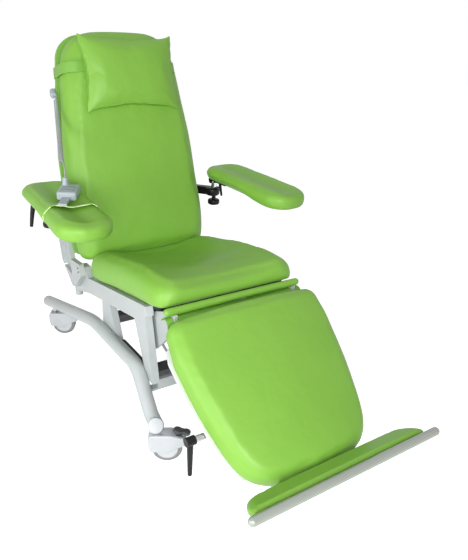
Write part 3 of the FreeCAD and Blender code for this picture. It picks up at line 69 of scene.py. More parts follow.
# %% [markdown]
# Three cords show. The handset hangs on a curly cord from an elbow on the backrest, which
# ends in a short plain lead. The legrest's motor has a lead of its own under the seat. Each is
# a NURBS curve with a round bevel, so it stays smooth however close one looks. The curls are
# points wound round a line that is read from a spline, because a real curly cord is wound on
# a rod and then sags.

# %% A cord on a smooth spline
def curve_through(name, points, radii):
    """A NURBS curve that ends on its end points and has its own radius at each point."""
    curve = bpy.data.curves.new(name, "CURVE")
    curve.dimensions = "3D"
    spline = curve.splines.new("NURBS")
    spline.points.add(len(points) - 1)
    for knot, place, radius in zip(spline.points, points, radii):
        knot.co = (*place, 1)
        knot.radius = radius
    spline.order_u = 3
    spline.use_endpoint_u = True
    piece = bpy.data.objects.new(name, curve)
    bpy.context.scene.collection.objects.link(piece)
    return piece


def make_round(curve, fineness):
    """Give a curve a closed round section of the radius that each of its points has."""
    curve.bevel_depth = 1.0
    curve.bevel_resolution = fineness
    curve.use_fill_caps = True


def cord_curve(name, points, thickness, steps):
    """A cord and its smooth centre line, in so many steps from point to point."""
    piece = curve_through(name, points, [thickness / 2] * len(points))
    piece.data.resolution_u = steps
    line = read_line(piece)
    make_round(piece.data, fineness=2)
    print(name, "length", round(length_of(line), 4))
    return piece, line


def read_line(piece):
    """The smooth centre line of a curve that has no bevel yet."""
    bpy.context.view_layer.update()
    mesh = bpy.data.meshes.new_from_object(piece)
    line = [vertex.co.copy() for vertex in mesh.vertices]
    bpy.data.meshes.remove(mesh)
    return line


def length_of(line):
    return sum((b - a).length for a, b in zip(line, line[1:]))


def hand_over(piece, body, node=None):
    """Fix a finished piece to its body, and let it stand for a CAD node where there is one."""
    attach(piece, body)
    if node:
        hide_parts(node)


# %% The curly cord
cord_thick = 0.0044
elbow_mouth = Vector((-0.26574, 0.40621, 1.06283))
curl_top = Vector((-0.26201, 0.39896, 1.05154))
curl_low = Vector((-0.35695, 0.08942, 0.87794))
lead_top = Vector((-0.35322, 0.076, 0.87764))
curl_radius, curls, sag = 0.0063, 38, 0.014
middle = (curl_top + curl_low) / 2 - Vector((0, 0, sag * 2))
guide, axis_line = cord_curve("curl_guide", [curl_top, middle, curl_low], cord_thick, 24)
bpy.data.objects.remove(guide)
# Two directions across the cord, at right angles to each other.
curl_side, curl_lift = Vector((0, -0.4892, 0.8722)), Vector((0.9743, -0.1964, -0.1101))


def along_line(line, share):
    """A place part of the way along a line, from 0 at its start to 1 at its end."""
    place = share * (len(line) - 1)
    first = min(int(place), len(line) - 2)
    return line[first].lerp(line[first + 1], place - first)


points_each = 14
outside_curve = 1.02  # the smooth curve runs a little inside its points
straight_end = 0.004
wound = []
for i in range(curls * points_each + 1):
    angle = 2 * math.pi * i / points_each
    out = curl_side * math.cos(angle) + curl_lift * math.sin(angle)
    on_axis = along_line(axis_line, i / (curls * points_each))
    wound.append(on_axis + out * curl_radius * outside_curve)
way = (lead_top - elbow_mouth).normalized()
upper_end = [elbow_mouth, elbow_mouth + way * straight_end]
lower_end = [lead_top - way * straight_end, lead_top]
curly_cord, curly_line = cord_curve("handset_curly_cord", upper_end + wound + lower_end, cord_thick, 2)
hand_over(curly_cord, "back", "curly_cord")

# %% The plain lead and the motor's lead
neck_tip = Vector((-0.36009, 0.05246, 0.82907))
lead_route = [neck_tip, Vector((-0.36009, 0.05106, 0.84902)), Vector((-0.35756, 0.05972, 0.86687)), lead_top]
plain_lead, lead_line = cord_curve("handset_lead", lead_route, cord_thick, 12)
hand_over(plain_lead, "pad_left", "cord_tail")
motor_lead_thick = 0.009
motor_route = [Vector(place) for place in (
    (-0.205, -0.324, 0.446), (-0.205, -0.332, 0.404), (-0.21, -0.352, 0.362),
    (-0.2, -0.37, 0.322), (-0.178, -0.378, 0.288), (-0.17, -0.378, 0.262))]
motor_lead, motor_line = cord_curve("legrest_motor_lead", motor_route, motor_lead_thick, 12)
hand_over(motor_lead, "base", "leg_motor_cable")

# %% [markdown]
# ## Finishes
# Each finish is one Principled shader. What several finishes share is a node group: `grain`
# gives the fine relief of vinyl or of sprayed paint and a slow drift of colour, and `grime`
# says where handling has dulled a surface. Both read Object coordinates in metres, so the
# grain has its real size on every piece.

# %% Node helpers
def new_group(name, inputs, outputs):
    group = bpy.data.node_groups.new(name, "ShaderNodeTree")
    for label, value in inputs:
        socket = group.interface.new_socket(label, in_out="INPUT", socket_type="NodeSocketFloat")
        socket.default_value = value
    for label in outputs:
        group.interface.new_socket(label, in_out="OUTPUT", socket_type="NodeSocketFloat")
    return group, group.nodes.new("NodeGroupInput"), group.nodes.new("NodeGroupOutput")


def place_node(tree, kind, links=(), **values):
    """Add a node, set its properties or input values, and link its inputs."""
    node = tree.nodes.new("ShaderNode" + kind)
    for key, value in values.items():
        if key in node.inputs:
            node.inputs[key].default_value = value
        else:
            setattr(node, key, value)
    for socket, source in dict(links).items():
        tree.links.new(source, node.inputs[socket])
    return node


def map_range(tree, source, start=0.0, end=1.0, low=0.0, high=1.0):
    """Spread a value that runs from start to end over the range from low to high."""
    node = place_node(tree, "MapRange", {0: source})
    for socket, value in zip(node.inputs[1:5], (start, end, low, high)):
        socket.default_value = value
    return node.outputs[0]


# %% Grain: a fine pebble and a slow drift
grain, grain_in, grain_out = new_group(
    "grain", [("Scale", 900.0), ("Softness", 0.5), ("Drift Scale", 5.0)], ["Relief", "Drift"])
where = place_node(grain, "TexCoord").outputs["Object"]
grain_size = grain_in.outputs["Scale"]
pebble = place_node(grain, "TexVoronoi", {"Vector": where, "Scale": grain_size})
speck = place_node(grain, "TexNoise", {"Vector": where, "Scale": grain_size}, Detail=3.0)
relief = place_node(grain, "Mix", {0: grain_in.outputs["Softness"], 2: pebble.outputs["Distance"],
                                   3: speck.outputs["Fac"]})
drift = place_node(grain, "TexNoise", {"Vector": where, "Scale": grain_in.outputs["Drift Scale"]},
                   Detail=4.0)
grain.links.new(relief.outputs[0], grain_out.inputs["Relief"])
grain.links.new(drift.outputs["Fac"], grain_out.inputs["Drift"])

# %% Grime: smudges that gather low down and in patches
grime, grime_in, grime_out = new_group("grime", [("Amount", 0.3), ("Patch Scale", 9.0)], ["Mask"])
where = place_node(grime, "TexCoord").outputs["Object"]
patch = place_node(grime, "TexNoise", {"Vector": where, "Scale": grime_in.outputs["Patch Scale"]},
                   Detail=6.0, Roughness=0.7)
height = place_node(grime, "SeparateXYZ", {0: where}).outputs["Z"]
low_down = map_range(grime, height, end=0.5, low=1.0, high=0.35)
in_patch = map_range(grime, patch.outputs["Fac"], start=0.45, end=0.75)
both = place_node(grime, "Math", {0: low_down, 1: in_patch}, operation="MULTIPLY")
mask = place_node(grime, "Math", {0: both.outputs[0], 1: grime_in.outputs["Amount"]}, operation="MULTIPLY")
grime.links.new(mask.outputs[0], grime_out.inputs["Mask"])


# %% One function for every finish
def finish_of(name, colour, drifted, rough, scale=900.0, relief=0.00005, softness=0.5, dirt=0.15,
              dirty=(0.25, 0.24, 0.22), metallic=0.0, shine=0.5, waves=0.0):
    """A Principled finish: colour drifting to a second one, dulled by grime, with real relief."""
    glossier, duller, wave_scale = 0.05, 0.08, 14.0
    material = bpy.data.materials.new(name)
    material.use_nodes = True
    tree = material.node_tree
    shader = tree.nodes["Principled BSDF"]
    shader.inputs["Metallic"].default_value = metallic
    shader.inputs["Specular IOR Level"].default_value = shine
    texture = tree.nodes.new("ShaderNodeGroup")
    texture.node_tree = grain
    texture.inputs["Scale"].default_value = scale
    texture.inputs["Softness"].default_value = softness
    smudge = tree.nodes.new("ShaderNodeGroup")
    smudge.node_tree = grime
    smudge.inputs["Amount"].default_value = dirt
    clean = place_node(tree, "Mix", {0: texture.outputs["Drift"]}, data_type="RGBA")
    clean.inputs[6].default_value = (*colour, 1)
    clean.inputs[7].default_value = (*drifted, 1)
    soiled = place_node(tree, "Mix", {0: smudge.outputs["Mask"], 6: clean.outputs[2]}, data_type="RGBA")
    soiled.inputs[7].default_value = (*dirty, 1)
    tree.links.new(soiled.outputs[2], shader.inputs["Base Color"])
    gloss = map_range(tree, texture.outputs["Relief"], low=rough - glossier, high=rough + duller)
    tree.links.new(gloss, shader.inputs["Roughness"])
    bump = place_node(tree, "Bump", {"Height": texture.outputs["Relief"]}, Distance=relief)
    if waves:
        where = place_node(tree, "TexCoord").outputs["Object"]
        slow = place_node(tree, "TexNoise", {"Vector": where}, Scale=wave_scale, Detail=2.0)
        bump = place_node(tree, "Bump", {"Height": slow.outputs["Fac"], "Normal": bump.outputs[0]},
                          Distance=waves)
    tree.links.new(bump.outputs[0], shader.inputs["Normal"])
    return material


# %% [markdown]
# The upholstery is lime-green vinyl: a fine pebbled grain, a soft gloss and slow waves where
# the foam below is uneven. The frame is sprayed light grey, whose orange peel is broader,
# shallower and softer than the vinyl's grain.

# %% The finishes of this chair
vinyl = finish_of("lime_vinyl", (0.195, 0.43, 0.047), (0.225, 0.475, 0.060), 0.44, relief=0.00012,
                  softness=0.35, dirt=0.03, dirty=(0.16, 0.34, 0.05), shine=0.4, waves=0.003)
pale_piping = finish_of("pale_piping", (0.55, 0.72, 0.35), (0.6, 0.77, 0.4), 0.4, relief=0.00008, dirt=0.03)
strap_vinyl = finish_of("lime_strap", (0.17, 0.40, 0.05), (0.2, 0.45, 0.06), 0.48, relief=0.00012, dirt=0.05,
                        dirty=(0.13, 0.3, 0.05))
sprayed_grey = finish_of("sprayed_grey", (0.43, 0.465, 0.465), (0.48, 0.515, 0.515), 0.36, scale=420.0,
                         relief=0.00005, softness=0.9, dirt=0.18)
# The beams under the seat are dark grey steel, and this near-black colour also paints the shade they sit in.
dark_steel = finish_of("dark_steel", (0.05, 0.052, 0.056), (0.07, 0.072, 0.075), 0.45, scale=420.0,
                       relief=0.00006, softness=0.9, dirt=0.2, dirty=(0.12, 0.12, 0.115), shine=0.3)
pale_board = finish_of("pale_board", (0.66, 0.68, 0.66), (0.72, 0.74, 0.72), 0.5, scale=700.0, softness=0.9)
black_plastic = finish_of("black_plastic", (0.006, 0.006, 0.007), (0.011, 0.011, 0.012), 0.4, scale=1100.0,
                          relief=0.00006, dirt=0.1, dirty=(0.04, 0.04, 0.04), shine=0.22)
grey_plastic = finish_of("grey_plastic", (0.49, 0.515, 0.535), (0.55, 0.575, 0.595), 0.42, scale=1300.0,
                         relief=0.00004, dirt=0.25)
handset_plastic = finish_of("handset_plastic", (0.36, 0.42, 0.45), (0.42, 0.48, 0.51), 0.35, scale=1500.0,
                            relief=0.00003, dirt=0.05, shine=0.35)
button_plastic = finish_of("button_plastic", (0.28, 0.33, 0.36), (0.33, 0.38, 0.41), 0.4, scale=1500.0)
chrome = finish_of("chrome", (0.72, 0.73, 0.75), (0.76, 0.77, 0.79), 0.1, scale=900.0, relief=0.00001,
                   softness=1.0, dirt=0.1, metallic=1.0)
bare_steel = finish_of("bare_steel", (0.5, 0.51, 0.52), (0.56, 0.57, 0.58), 0.32, scale=600.0, softness=1.0,
                       dirt=0.3, metallic=1.0)
# The footrest bar's grey is tinted green: a painted reflection of the green pads round it.
satin_bar_painted_reflection = finish_of("satin_bar_painted_reflection", (0.31, 0.34, 0.30), (0.36, 0.39, 0.35), 0.36, scale=800.0, relief=0.00002,
                      softness=1.0, dirt=0.1, metallic=0.3)
tread_grey = finish_of("tread_grey", (0.19, 0.195, 0.2), (0.23, 0.235, 0.24), 0.6, scale=500.0,
                       relief=0.0001, dirt=0.3)
pedal_grey = finish_of("pedal_grey", (0.05, 0.052, 0.055), (0.07, 0.072, 0.075), 0.5, scale=900.0, dirt=0.2,
                       shine=0.3)
cord_jacket = finish_of("cord_jacket", (0.30, 0.33, 0.33), (0.38, 0.40, 0.41), 0.45, scale=1500.0, dirt=0.1,
                        shine=0.3)
print("finishes", len(bpy.data.materials))

# %% Dress the CAD nodes
finish_by_node = {
    "side_tubes": sprayed_grey, "cross_tubes": sprayed_grey, "seat_rails": sprayed_grey,
    "posts": sprayed_grey, "back_frame": sprayed_grey, "leg_frame": sprayed_grey,
    "tube_end_caps": grey_plastic, "castor_stems": bare_steel, "cross_beams": dark_steel,
    "seat_board": black_plastic, "hinge_pins": bare_steel, "control_box": black_plastic,
    "back_shell": strap_vinyl, "armrest_brackets": black_plastic, "frame_knob": black_plastic,
    "handset": handset_plastic, "handset_button_back": button_plastic, "handset_button_leg": button_plastic,
    "leg_board": pale_board, "footrest_slides": bare_steel, "footrest_plate": bare_steel,
    "footrest_bar": satin_bar_painted_reflection, "footrest_lever": black_plastic,
}
finish_by_start = {
    "armrest_post": chrome, "armrest_head": black_plastic, "armrest_lever": black_plastic,
    "armrest_knob": black_plastic, "castor_hood": grey_plastic, "castor_wheel": tread_grey,
    "castor_pedal": pedal_grey, "back_ram": chrome, "leg_ram": chrome, "back_actuator": grey_plastic,
    "leg_actuator": grey_plastic,
}


def finish_for(node):
    """The finish of a CAD node, by its whole name or else by the start of its name."""
    if node in finish_by_node:
        return finish_by_node[node]
    for start, finish in finish_by_start.items():
        if node.startswith(start):
            return finish
    return None


for node, piece in nodes.items():
    finish = finish_for(node)
    if finish is None:
        print("gets a new piece", node)
        continue
    for place in piece.material_slots:
        place.material = finish
for cord in (curly_cord, plain_lead, motor_lead):
    cord.data.materials.append(cord_jacket)


# %% [markdown]
# ## The pads
# A pad is foam in a stretched vinyl cover. Each one starts as a copy of its CAD solid, a
# little smaller, and is remeshed into even faces. Blender's cloth then blows it up like a
# cover filled with foam, with gravity off. A cap keeps every point near its start, and the
# face that lies on the board stays flat. This gives the crowned faces and soft edges that
# plain fillets never have.

# %% Copy a CAD solid and even out its faces
def only(piece):
    bpy.ops.object.select_all(action="DESELECT")
    piece.select_set(True)
    bpy.context.view_layer.objects.active = piece


def edit_all(piece):
    """Open one piece for editing, with all of it selected."""
    only(piece)
    bpy.ops.object.mode_set(mode="EDIT")
    bpy.ops.mesh.select_all(action="SELECT")


def merge_points(piece, distance):
    edit_all(piece)
    bpy.ops.mesh.remove_doubles(threshold=distance)
    bpy.ops.object.mode_set(mode="OBJECT")


def face_outwards(piece):
    edit_all(piece)
    bpy.ops.mesh.normals_make_consistent(inside=False)
    bpy.ops.object.mode_set(mode="OBJECT")


def solid_copy(node, name, voxel, shrink):
    """An evenly meshed copy of a CAD solid, smaller by shrink on every side."""
    mesh = nodes[node].data.copy()
    mesh.materials.clear()
    piece = bpy.data.objects.new(name, mesh)
    bpy.context.scene.collection.objects.link(piece)
    merge_points(piece, distance=0.00002)
    mesh.remesh_voxel_size = voxel
    bpy.ops.object.voxel_remesh()
    piece.data.update()
    offsets = [vertex.normal * shrink for vertex in piece.data.vertices]
    for vertex, offset in zip(piece.data.vertices, offsets):
        vertex.co -= offset
    return piece


# %% Blow the cover up
def swell(piece, cap, seat, pressure=4.0, loose=False):
    """Inflate a closed cover with cloth. seat points out of the face that lies on its board."""
    cloth_steps, slide_share, quick_share = 20, 0.15, 0.6
    free_sideways, held_by_seat = 1.6, 2.2
    rest = [vertex.co.copy() for vertex in piece.data.vertices]
    out = [vertex.normal.copy() for vertex in piece.data.vertices]
    loose_share = [min(1.0, max(0.0, free_sideways - held_by_seat * way.dot(seat))) for way in out]
    cloth = piece.modifiers.new("cover", "CLOTH")
    cloth.settings.quality = 4
    cloth.settings.mass = 0.3
    cloth.settings.tension_stiffness = 15
    cloth.settings.compression_stiffness = 15
    cloth.settings.bending_stiffness = 0.5
    cloth.settings.use_pressure = True
    cloth.settings.uniform_pressure_force = pressure
    cloth.settings.effector_weights.gravity = 0
    cloth.point_cache.frame_start = 1
    cloth.point_cache.frame_end = cloth_steps
    for step in range(1, cloth_steps + 1):
        bpy.context.scene.frame_set(step)
    blown = piece.evaluated_get(bpy.context.evaluated_depsgraph_get())
    moved = [vertex.co.copy() for vertex in blown.data.vertices]
    piece.modifiers.remove(cloth)
    bpy.context.scene.frame_set(1)
    for vertex, start, end, free, way in zip(piece.data.vertices, rest, moved, loose_share, out):
        shift = (end - start) * free
        if not loose:
            outward = shift.dot(way)
            shift = way * max(0.0, outward) + (shift - way * outward) * slide_share
        if shift.length > cap:
            shift = shift * (cap / shift.length)
        vertex.co = start + shift
    piece.data.update()


# %% Smooth and subdivide a cover
def finish_cover(piece, smooth=3, factor=0.5):
    """Smooth a cover, subdivide it once and give it the vinyl."""
    only(piece)
    relax = piece.modifiers.new("relax", "SMOOTH")
    relax.iterations = smooth
    relax.factor = factor
    bpy.ops.object.modifier_apply(modifier="relax")
    fine = piece.modifiers.new("fine", "SUBSURF")
    fine.levels = fine.render_levels = 1
    bpy.ops.object.modifier_apply(modifier="fine")
    bpy.ops.object.shade_smooth()
    piece.data.materials.append(vinyl)
    print(piece.name, "faces", len(piece.data.polygons))


# %% [markdown]
# The seat, the backrest and the legrest are the three large pads. Each is pressed into shape in
# its own tipped frame, as upholstery foam is cut before it is covered, and then blown up. Its
# underside faces its board, so that side is the one that stays flat.

# %% Large pads
def tipped_frame(y, z, angle):
    """A frame on the chair's middle whose y axis is tipped up by an angle in degrees."""
    return Matrix.Translation((0, y, z)) @ Matrix.Rotation(math.radians(angle), 4, "X")


def underside(pad_frame):
    """The way that the flat face of a pad in this frame points."""
    return pad_frame.to_3x3() @ Vector((0, 0, -1))


def ramp(value, start, end):
    """0 before start, 1 after end, and a smooth rise between."""
    share = min(1.0, max(0.0, (value - start) / (end - start)))
    return share * share * (3 - 2 * share)


def press(pad, pad_frame, rule):
    """Move a pad's points by a rule that is written in the pad's own frame."""
    inward = pad_frame.inverted()
    for vertex in pad.data.vertices:
        vertex.co = pad_frame @ rule(inward @ vertex.co)
    pad.data.update()


# %% How each large pad is pressed
def seat_rule(point):
    """A deeper dish towards the backrest, and a rear end that reaches under it."""
    dish_depth, dish_half, rear_reach, rear_lift = 0.026, 0.17, 0.026, 0.004
    dish_start, dish_end, upper_side, rear_end = (0.0, 0.2), (0.42, 0.5), (0.04, 0.09), (0.36, 0.48)
    lengthwise = ramp(point.y, *dish_start) * (1 - ramp(point.y, *dish_end))
    dish = dish_depth * math.exp(-(point.x / dish_half) ** 4) * lengthwise
    top = ramp(point.z, *upper_side)
    rear = ramp(point.y, *rear_end)
    return point + Vector((0, rear_reach * rear, (rear_lift * rear - dish) * top))


def back_rule(point):
    """A lower end that reaches down behind the seat."""
    low_reach, low_end = 0.024, (0.0, 0.14)
    return point - Vector((0, low_reach * (1 - ramp(point.y, *low_end)), 0))


def leg_rule(point):
    """Squarer upper corners, a rim round the board's edge, and both ends a little longer."""
    corner_x, corner_y, corner_spread = 0.22, -0.07, 0.16
    upper_reach, lower_reach, rim_out, rim_down = 0.007, 0.012, 0.006, 0.010
    beside, ahead = abs(point.x) - corner_x, point.y - corner_y
    if beside > 0 and ahead > 0:
        spread = 1 + corner_spread * math.sin(2 * math.atan2(ahead, beside)) ** 2
        out_x = math.copysign(corner_x + beside * spread, point.x)
        point = Vector((out_x, corner_y + ahead * spread, point.z))
    upper_end, lower_end = (-0.12, 0), (-0.54, -0.4)
    upper_side, lower_side = (-0.045, -0.02), (-0.068, -0.035)
    board_edge, below_hinge = (0.15, 0.23), (-0.14, -0.08)
    upper = ramp(point.y, *upper_end) * ramp(point.z, *upper_side)
    lower = 1 - ramp(point.y, *lower_end)
    at_edge = ramp(abs(point.x), *board_edge) * (1 - ramp(point.y, *below_hinge))
    rim = (1 - ramp(point.z, *lower_side)) * at_edge
    wrap = Vector((math.copysign(rim_out, point.x), 0, -rim_down)) * rim
    return point + wrap + Vector((0, upper_reach * upper - lower_reach * lower, 0))


# %% Make the large pads
seat_frame = tipped_frame(-0.374, 0.498, -10.3)
back_frame = tipped_frame(0.135, 0.492, 74.6)
leg_frame = tipped_frame(-0.557, 0.5315, 40.1)
for node, name, body, pad_frame, voxel, cap, rule in (
        ("seat_cushion", "seat_pad", "base", seat_frame, 0.009, 0.010, seat_rule),
        ("back_cushion", "backrest_pad", "back", back_frame, 0.010, 0.010, back_rule),
        ("leg_cushion", "legrest_pad", "leg", leg_frame, 0.009, 0.007, leg_rule)):
    pad = solid_copy(node, name, voxel, shrink=0.004)
    press(pad, pad_frame, rule)
    swell(pad, cap, underside(pad_frame))
    finish_cover(pad, smooth=9)
    hand_over(pad, body, node)

# %% [markdown]
# Between the roll and the legrest the real chair has a strip of the same vinyl, so that
# nothing can be pinched there. It is bent round the legrest's hinge, and turns with the
# legrest, so it stays clear of the roll.

# %% The strip over the hinge
hinge_middle = Vector((0, -0.494, 0.480))
strip_radius, strip_thick = 0.0225, 0.0018
strip_half, gap_outer, gap_inner = 0.263, 0.2385, 0.2245  # the legrest's arms pass through the gaps
profile = []
for angle in range(-70, 101, 10):
    bend = math.radians(angle)
    profile.append(hinge_middle + Vector((0, -math.sin(bend), math.cos(bend))) * strip_radius)
strip_mesh = bpy.data.meshes.new("hinge_strip")
strip_points, strip_faces = [], []
for left, right in ((-strip_half, -gap_outer), (-gap_inner, gap_inner), (gap_outer, strip_half)):
    first = len(strip_points)
    for point in profile:
        strip_points += [Vector((left, point.y, point.z)), Vector((right, point.y, point.z))]
    strip_faces += [(first + 2 * i, first + 2 * i + 1, first + 2 * i + 3, first + 2 * i + 2)
                    for i in range(len(profile) - 1)]
strip_mesh.from_pydata(strip_points, [], strip_faces)
hinge_strip = bpy.data.objects.new("hinge_strip", strip_mesh)
bpy.context.scene.collection.objects.link(hinge_strip)
only(hinge_strip)
layer = hinge_strip.modifiers.new("layer", "SOLIDIFY")
layer.thickness = strip_thick
layer.offset = 0
bpy.ops.object.modifier_apply(modifier="layer")
face_outwards(hinge_strip)
bpy.ops.object.shade_smooth_by_angle(angle=math.radians(40))
hinge_strip.data.materials.append(strap_vinyl)
hand_over(hinge_strip, "leg")
print("hinge strip faces", len(hinge_strip.data.polygons))

# %% [markdown]
# The two armrest pads are long and rounded, with a trough down the middle that keeps a
# forearm in place. The trough is pressed in before the cover is blown up, so its edges stay
# soft.

# %% Armrest pads
arm_tilt, arm_turn = 4.0, {"left": 0.0, "right": 6.5}
post_x, post_y, pivot_height = 0.37, 0.245, 0.705
pad_middle = 0.013  # how far a pad's middle line lies outside its pivot


def arm_frame(side, turn):
    """The place of a pad's own frame: origin on its pivot, pad running towards -Y."""
    pivot = Matrix.Translation((side * post_x, post_y, pivot_height))
    stand = pivot @ Matrix.Rotation(math.radians(side * turn), 4, "Z")
    return stand @ Matrix.Rotation(math.radians(arm_tilt), 4, "X")


def press_trough(piece, pad_frame, middle_x, depth):
    """A long dent in a pad's upper face that fades out towards both of its ends."""
    trough_half, fade, front_end, rear_end = 0.040, 0.12, -0.496, 0.012
    upper_face = 0.05
    inward = pad_frame.inverted()
    for vertex in piece.data.vertices:
        local = inward @ vertex.co
        if local.z < upper_face:
            continue
        end = min(1.0, max(0.0, min(local.y - front_end, rear_end - local.y) / fade))
        share = math.exp(-((local.x - middle_x) / trough_half) ** 2) * (1 - (1 - end) ** 2)
        vertex.co += pad_frame.to_3x3() @ Vector((0, 0, -depth * share))
    piece.data.update()


def tuck_under(piece, pad_frame, middle_x):
    """Round the lower edge of a pad's rear half, where its cover is pulled up under the board."""
    tuck_height, pad_side, lower_side, rear_half = 0.024, (0.048, 0.095), (0.03, 0.062), (-0.40, -0.2)
    inward = pad_frame.inverted()
    for vertex in piece.data.vertices:
        local = inward @ vertex.co
        beside = ramp(abs(local.x - middle_x), *pad_side)
        low = 1 - ramp(local.z, *lower_side)
        local.z += tuck_height * beside * low * ramp(local.y, *rear_half)
        vertex.co = pad_frame @ local
    piece.data.update()


left_pad_frame = arm_frame(-1, arm_turn["left"])
arm_pads = {}
for word, side in (("left", -1), ("right", 1)):
    pad = solid_copy("armrest_pad_" + word, "arm_pad_" + word, voxel=0.006, shrink=0.003)
    pad_frame = arm_frame(side, arm_turn[word])
    press_trough(pad, pad_frame, side * pad_middle, depth=0.014)
    tuck_under(pad, pad_frame, side * pad_middle)
    swell(pad, cap=0.006, seat=underside(pad_frame))
    arm_pads[word] = pad

# %% [markdown]
# A cover of the same vinyl is pulled over the rear of the left pad, and the handset lies on
# it. It is cut from the swollen pad, so it fits everywhere, and gets its own thickness and a
# piped edge.

# %% The sleeve
sleeve_front, sleeve_slant, sleeve_lean, hem_height = 0.3246, 0.24, 0.05, 0.026
sleeve_up = left_pad_frame.to_3x3() @ Vector((0, 0, 1))
to_left_pad = left_pad_frame.inverted()


def sleeve_from(pad, name):
    """The rear of a pad, cut off at a slant and above the hem, with its front edge flared."""
    piece = bpy.data.objects.new(name, pad.data.copy())
    bpy.context.scene.collection.objects.link(piece)
    front = left_pad_frame @ Vector((0, -sleeve_front, 0))
    normal = (left_pad_frame.to_3x3() @ Vector((sleeve_slant, 1, sleeve_lean))).normalized()
    hem = left_pad_frame @ Vector((0, 0, hem_height))
    edit_all(piece)
    for point, way in ((front, normal), (hem, sleeve_up)):
        bpy.ops.mesh.select_all(action="SELECT")
        bpy.ops.mesh.bisect(plane_co=point, plane_no=way, clear_inner=True)
    bpy.ops.object.mode_set(mode="OBJECT")
    flare, flare_length, flare_half, upper_side = 0.011, 0.055, 0.085, (0.03, 0.06)
    for vertex in piece.data.vertices:
        local = to_left_pad @ vertex.co
        near = 1 - ramp((vertex.co - front).dot(normal), 0.0, flare_length)
        over = max(0.0, 1 - ((local.x + pad_middle) / flare_half) ** 2) * ramp(local.z, *upper_side)
        vertex.co += sleeve_up * flare * near * over
    return piece


def front_edge(piece):
    """The points of the sleeve's front edge, in their order round the pad."""
    edge_reach, middle_x, middle_z = 0.004, -pad_middle, 0.02
    edge = []
    for vertex in piece.data.vertices:
        local = to_left_pad @ vertex.co
        if abs(local.y + sleeve_front + sleeve_slant * local.x) < edge_reach:
            edge.append((-math.atan2(local.z - middle_z, local.x - middle_x), vertex.co.copy()))
    edge.sort(key=lambda entry: entry[0])
    return [place for turn, place in edge]


def give_wall(piece, gap, thickness):
    """Lift a cloth off what it covers, and give it a thickness."""
    lift = piece.modifiers.new("gap", "DISPLACE")
    lift.mid_level = 0
    lift.strength = gap
    bpy.ops.object.modifier_apply(modifier="gap")
    wall = piece.modifiers.new("wall", "SOLIDIFY")
    wall.thickness = thickness
    wall.offset = 1
    bpy.ops.object.modifier_apply(modifier="wall")


# %% Cut the sleeve and finish both arm pads
sleeve = sleeve_from(arm_pads["left"], "arm_sleeve")
sleeve_edge = front_edge(sleeve)
give_wall(sleeve, gap=0.0008, thickness=0.0026)
for word, pad in arm_pads.items():
    finish_cover(pad)
    hand_over(pad, "pad_" + word, "armrest_pad_" + word)
finish_cover(sleeve, smooth=1, factor=0.3)
hand_over(sleeve, "pad_left", "armrest_sleeve")


# %% Piping round the sleeve's front edge
def piping(name, points, thickness, body, material):
    """A round bead of cloth laid along a line of points."""
    line = curve_through(name, points, [thickness / 2] * len(points))
    make_round(line.data, fineness=3)
    only(line)
    bpy.ops.object.convert(target="MESH")
    bpy.ops.object.shade_smooth()
    line.data.materials.append(material)
    hand_over(line, body)
    print(name, "faces", len(line.data.polygons))


print("sleeve edge points", len(sleeve_edge))
bead_points, bead_thick = 40, 0.0042
bead_lift = left_pad_frame.to_3x3() @ Vector((0, -0.001, 0.0022))
step = max(1, len(sleeve_edge) // bead_points)
bead_line = [point + bead_lift for point in sleeve_edge[::step] + [sleeve_edge[-1]]]
piping("sleeve_piping", bead_line, bead_thick, "pad_left", pale_piping)

# %% [markdown]
# ## Hard trim
# The castors' hoods are cut off at a slant, so that the wheel shows below them with its pale
# hub. Each pedal is a small rocker with two round pads. Hub and pedal are made once in the
# castor's own frame, with the stem on its z axis and the wheel towards +X, and then copied to
# four places. Each hood is cut from its own CAD solid, which already stands in its place.

# %% Castor frames and helpers for the trim
stem_x, stem_y, castor_turn = 0.304, 0.509, -30


def castor_frame(side, end):
    place = Matrix.Translation((side * stem_x, end * stem_y, 0))
    return place @ Matrix.Rotation(math.radians(castor_turn), 4, "Z")


def aimed(place, way):
    """A frame at a place whose z axis points along a way."""
    return Matrix.Translation(place) @ way.to_track_quat("Z", "Y").to_matrix().to_4x4()


def put(piece, place, name, body, material, node=None):
    """Copy a pattern, move the copy's points to their place, and hand it to its body."""
    made = bpy.data.objects.new(name, piece.data.copy())
    made.data.transform(place)
    bpy.context.scene.collection.objects.link(made)
    made.data.materials.clear()
    made.data.materials.append(material)
    hand_over(made, body, node)
    print(name, "faces", len(made.data.polygons))


def soften(piece, width, segments=3, angle=30):
    """Round the edges that are sharper than an angle in degrees."""
    only(piece)
    edge = piece.modifiers.new("edge", "BEVEL")
    edge.width = width
    edge.segments = segments
    edge.limit_method = "ANGLE"
    edge.angle_limit = math.radians(angle)
    bpy.ops.object.modifier_apply(modifier="edge")
    bpy.ops.object.shade_smooth_by_angle(angle=math.radians(35))


def disc(name, radius, depth, turn=(0, 0, 0), vertices=48):
    bpy.ops.object.select_all(action="DESELECT")
    bpy.ops.mesh.primitive_cylinder_add(vertices=vertices, radius=radius, depth=depth, rotation=turn)
    piece = bpy.context.object
    piece.name = name
    bpy.ops.object.transform_apply(location=True, rotation=True, scale=True)
    return piece


def drop(piece):
    bpy.data.objects.remove(piece)


# %% The wheel's hub
hub_radius, hub_width = 0.0358, 0.0360
hub = disc("hub_pattern", hub_radius, hub_width, (math.radians(90), 0, 0))
bpy.ops.object.mode_set(mode="EDIT")
bpy.ops.mesh.select_mode(type="FACE")
bpy.ops.mesh.select_all(action="DESELECT")
bpy.ops.object.mode_set(mode="OBJECT")
for face in hub.data.polygons:
    face.select = abs(face.normal.y) > 0.9
bpy.ops.object.mode_set(mode="EDIT")
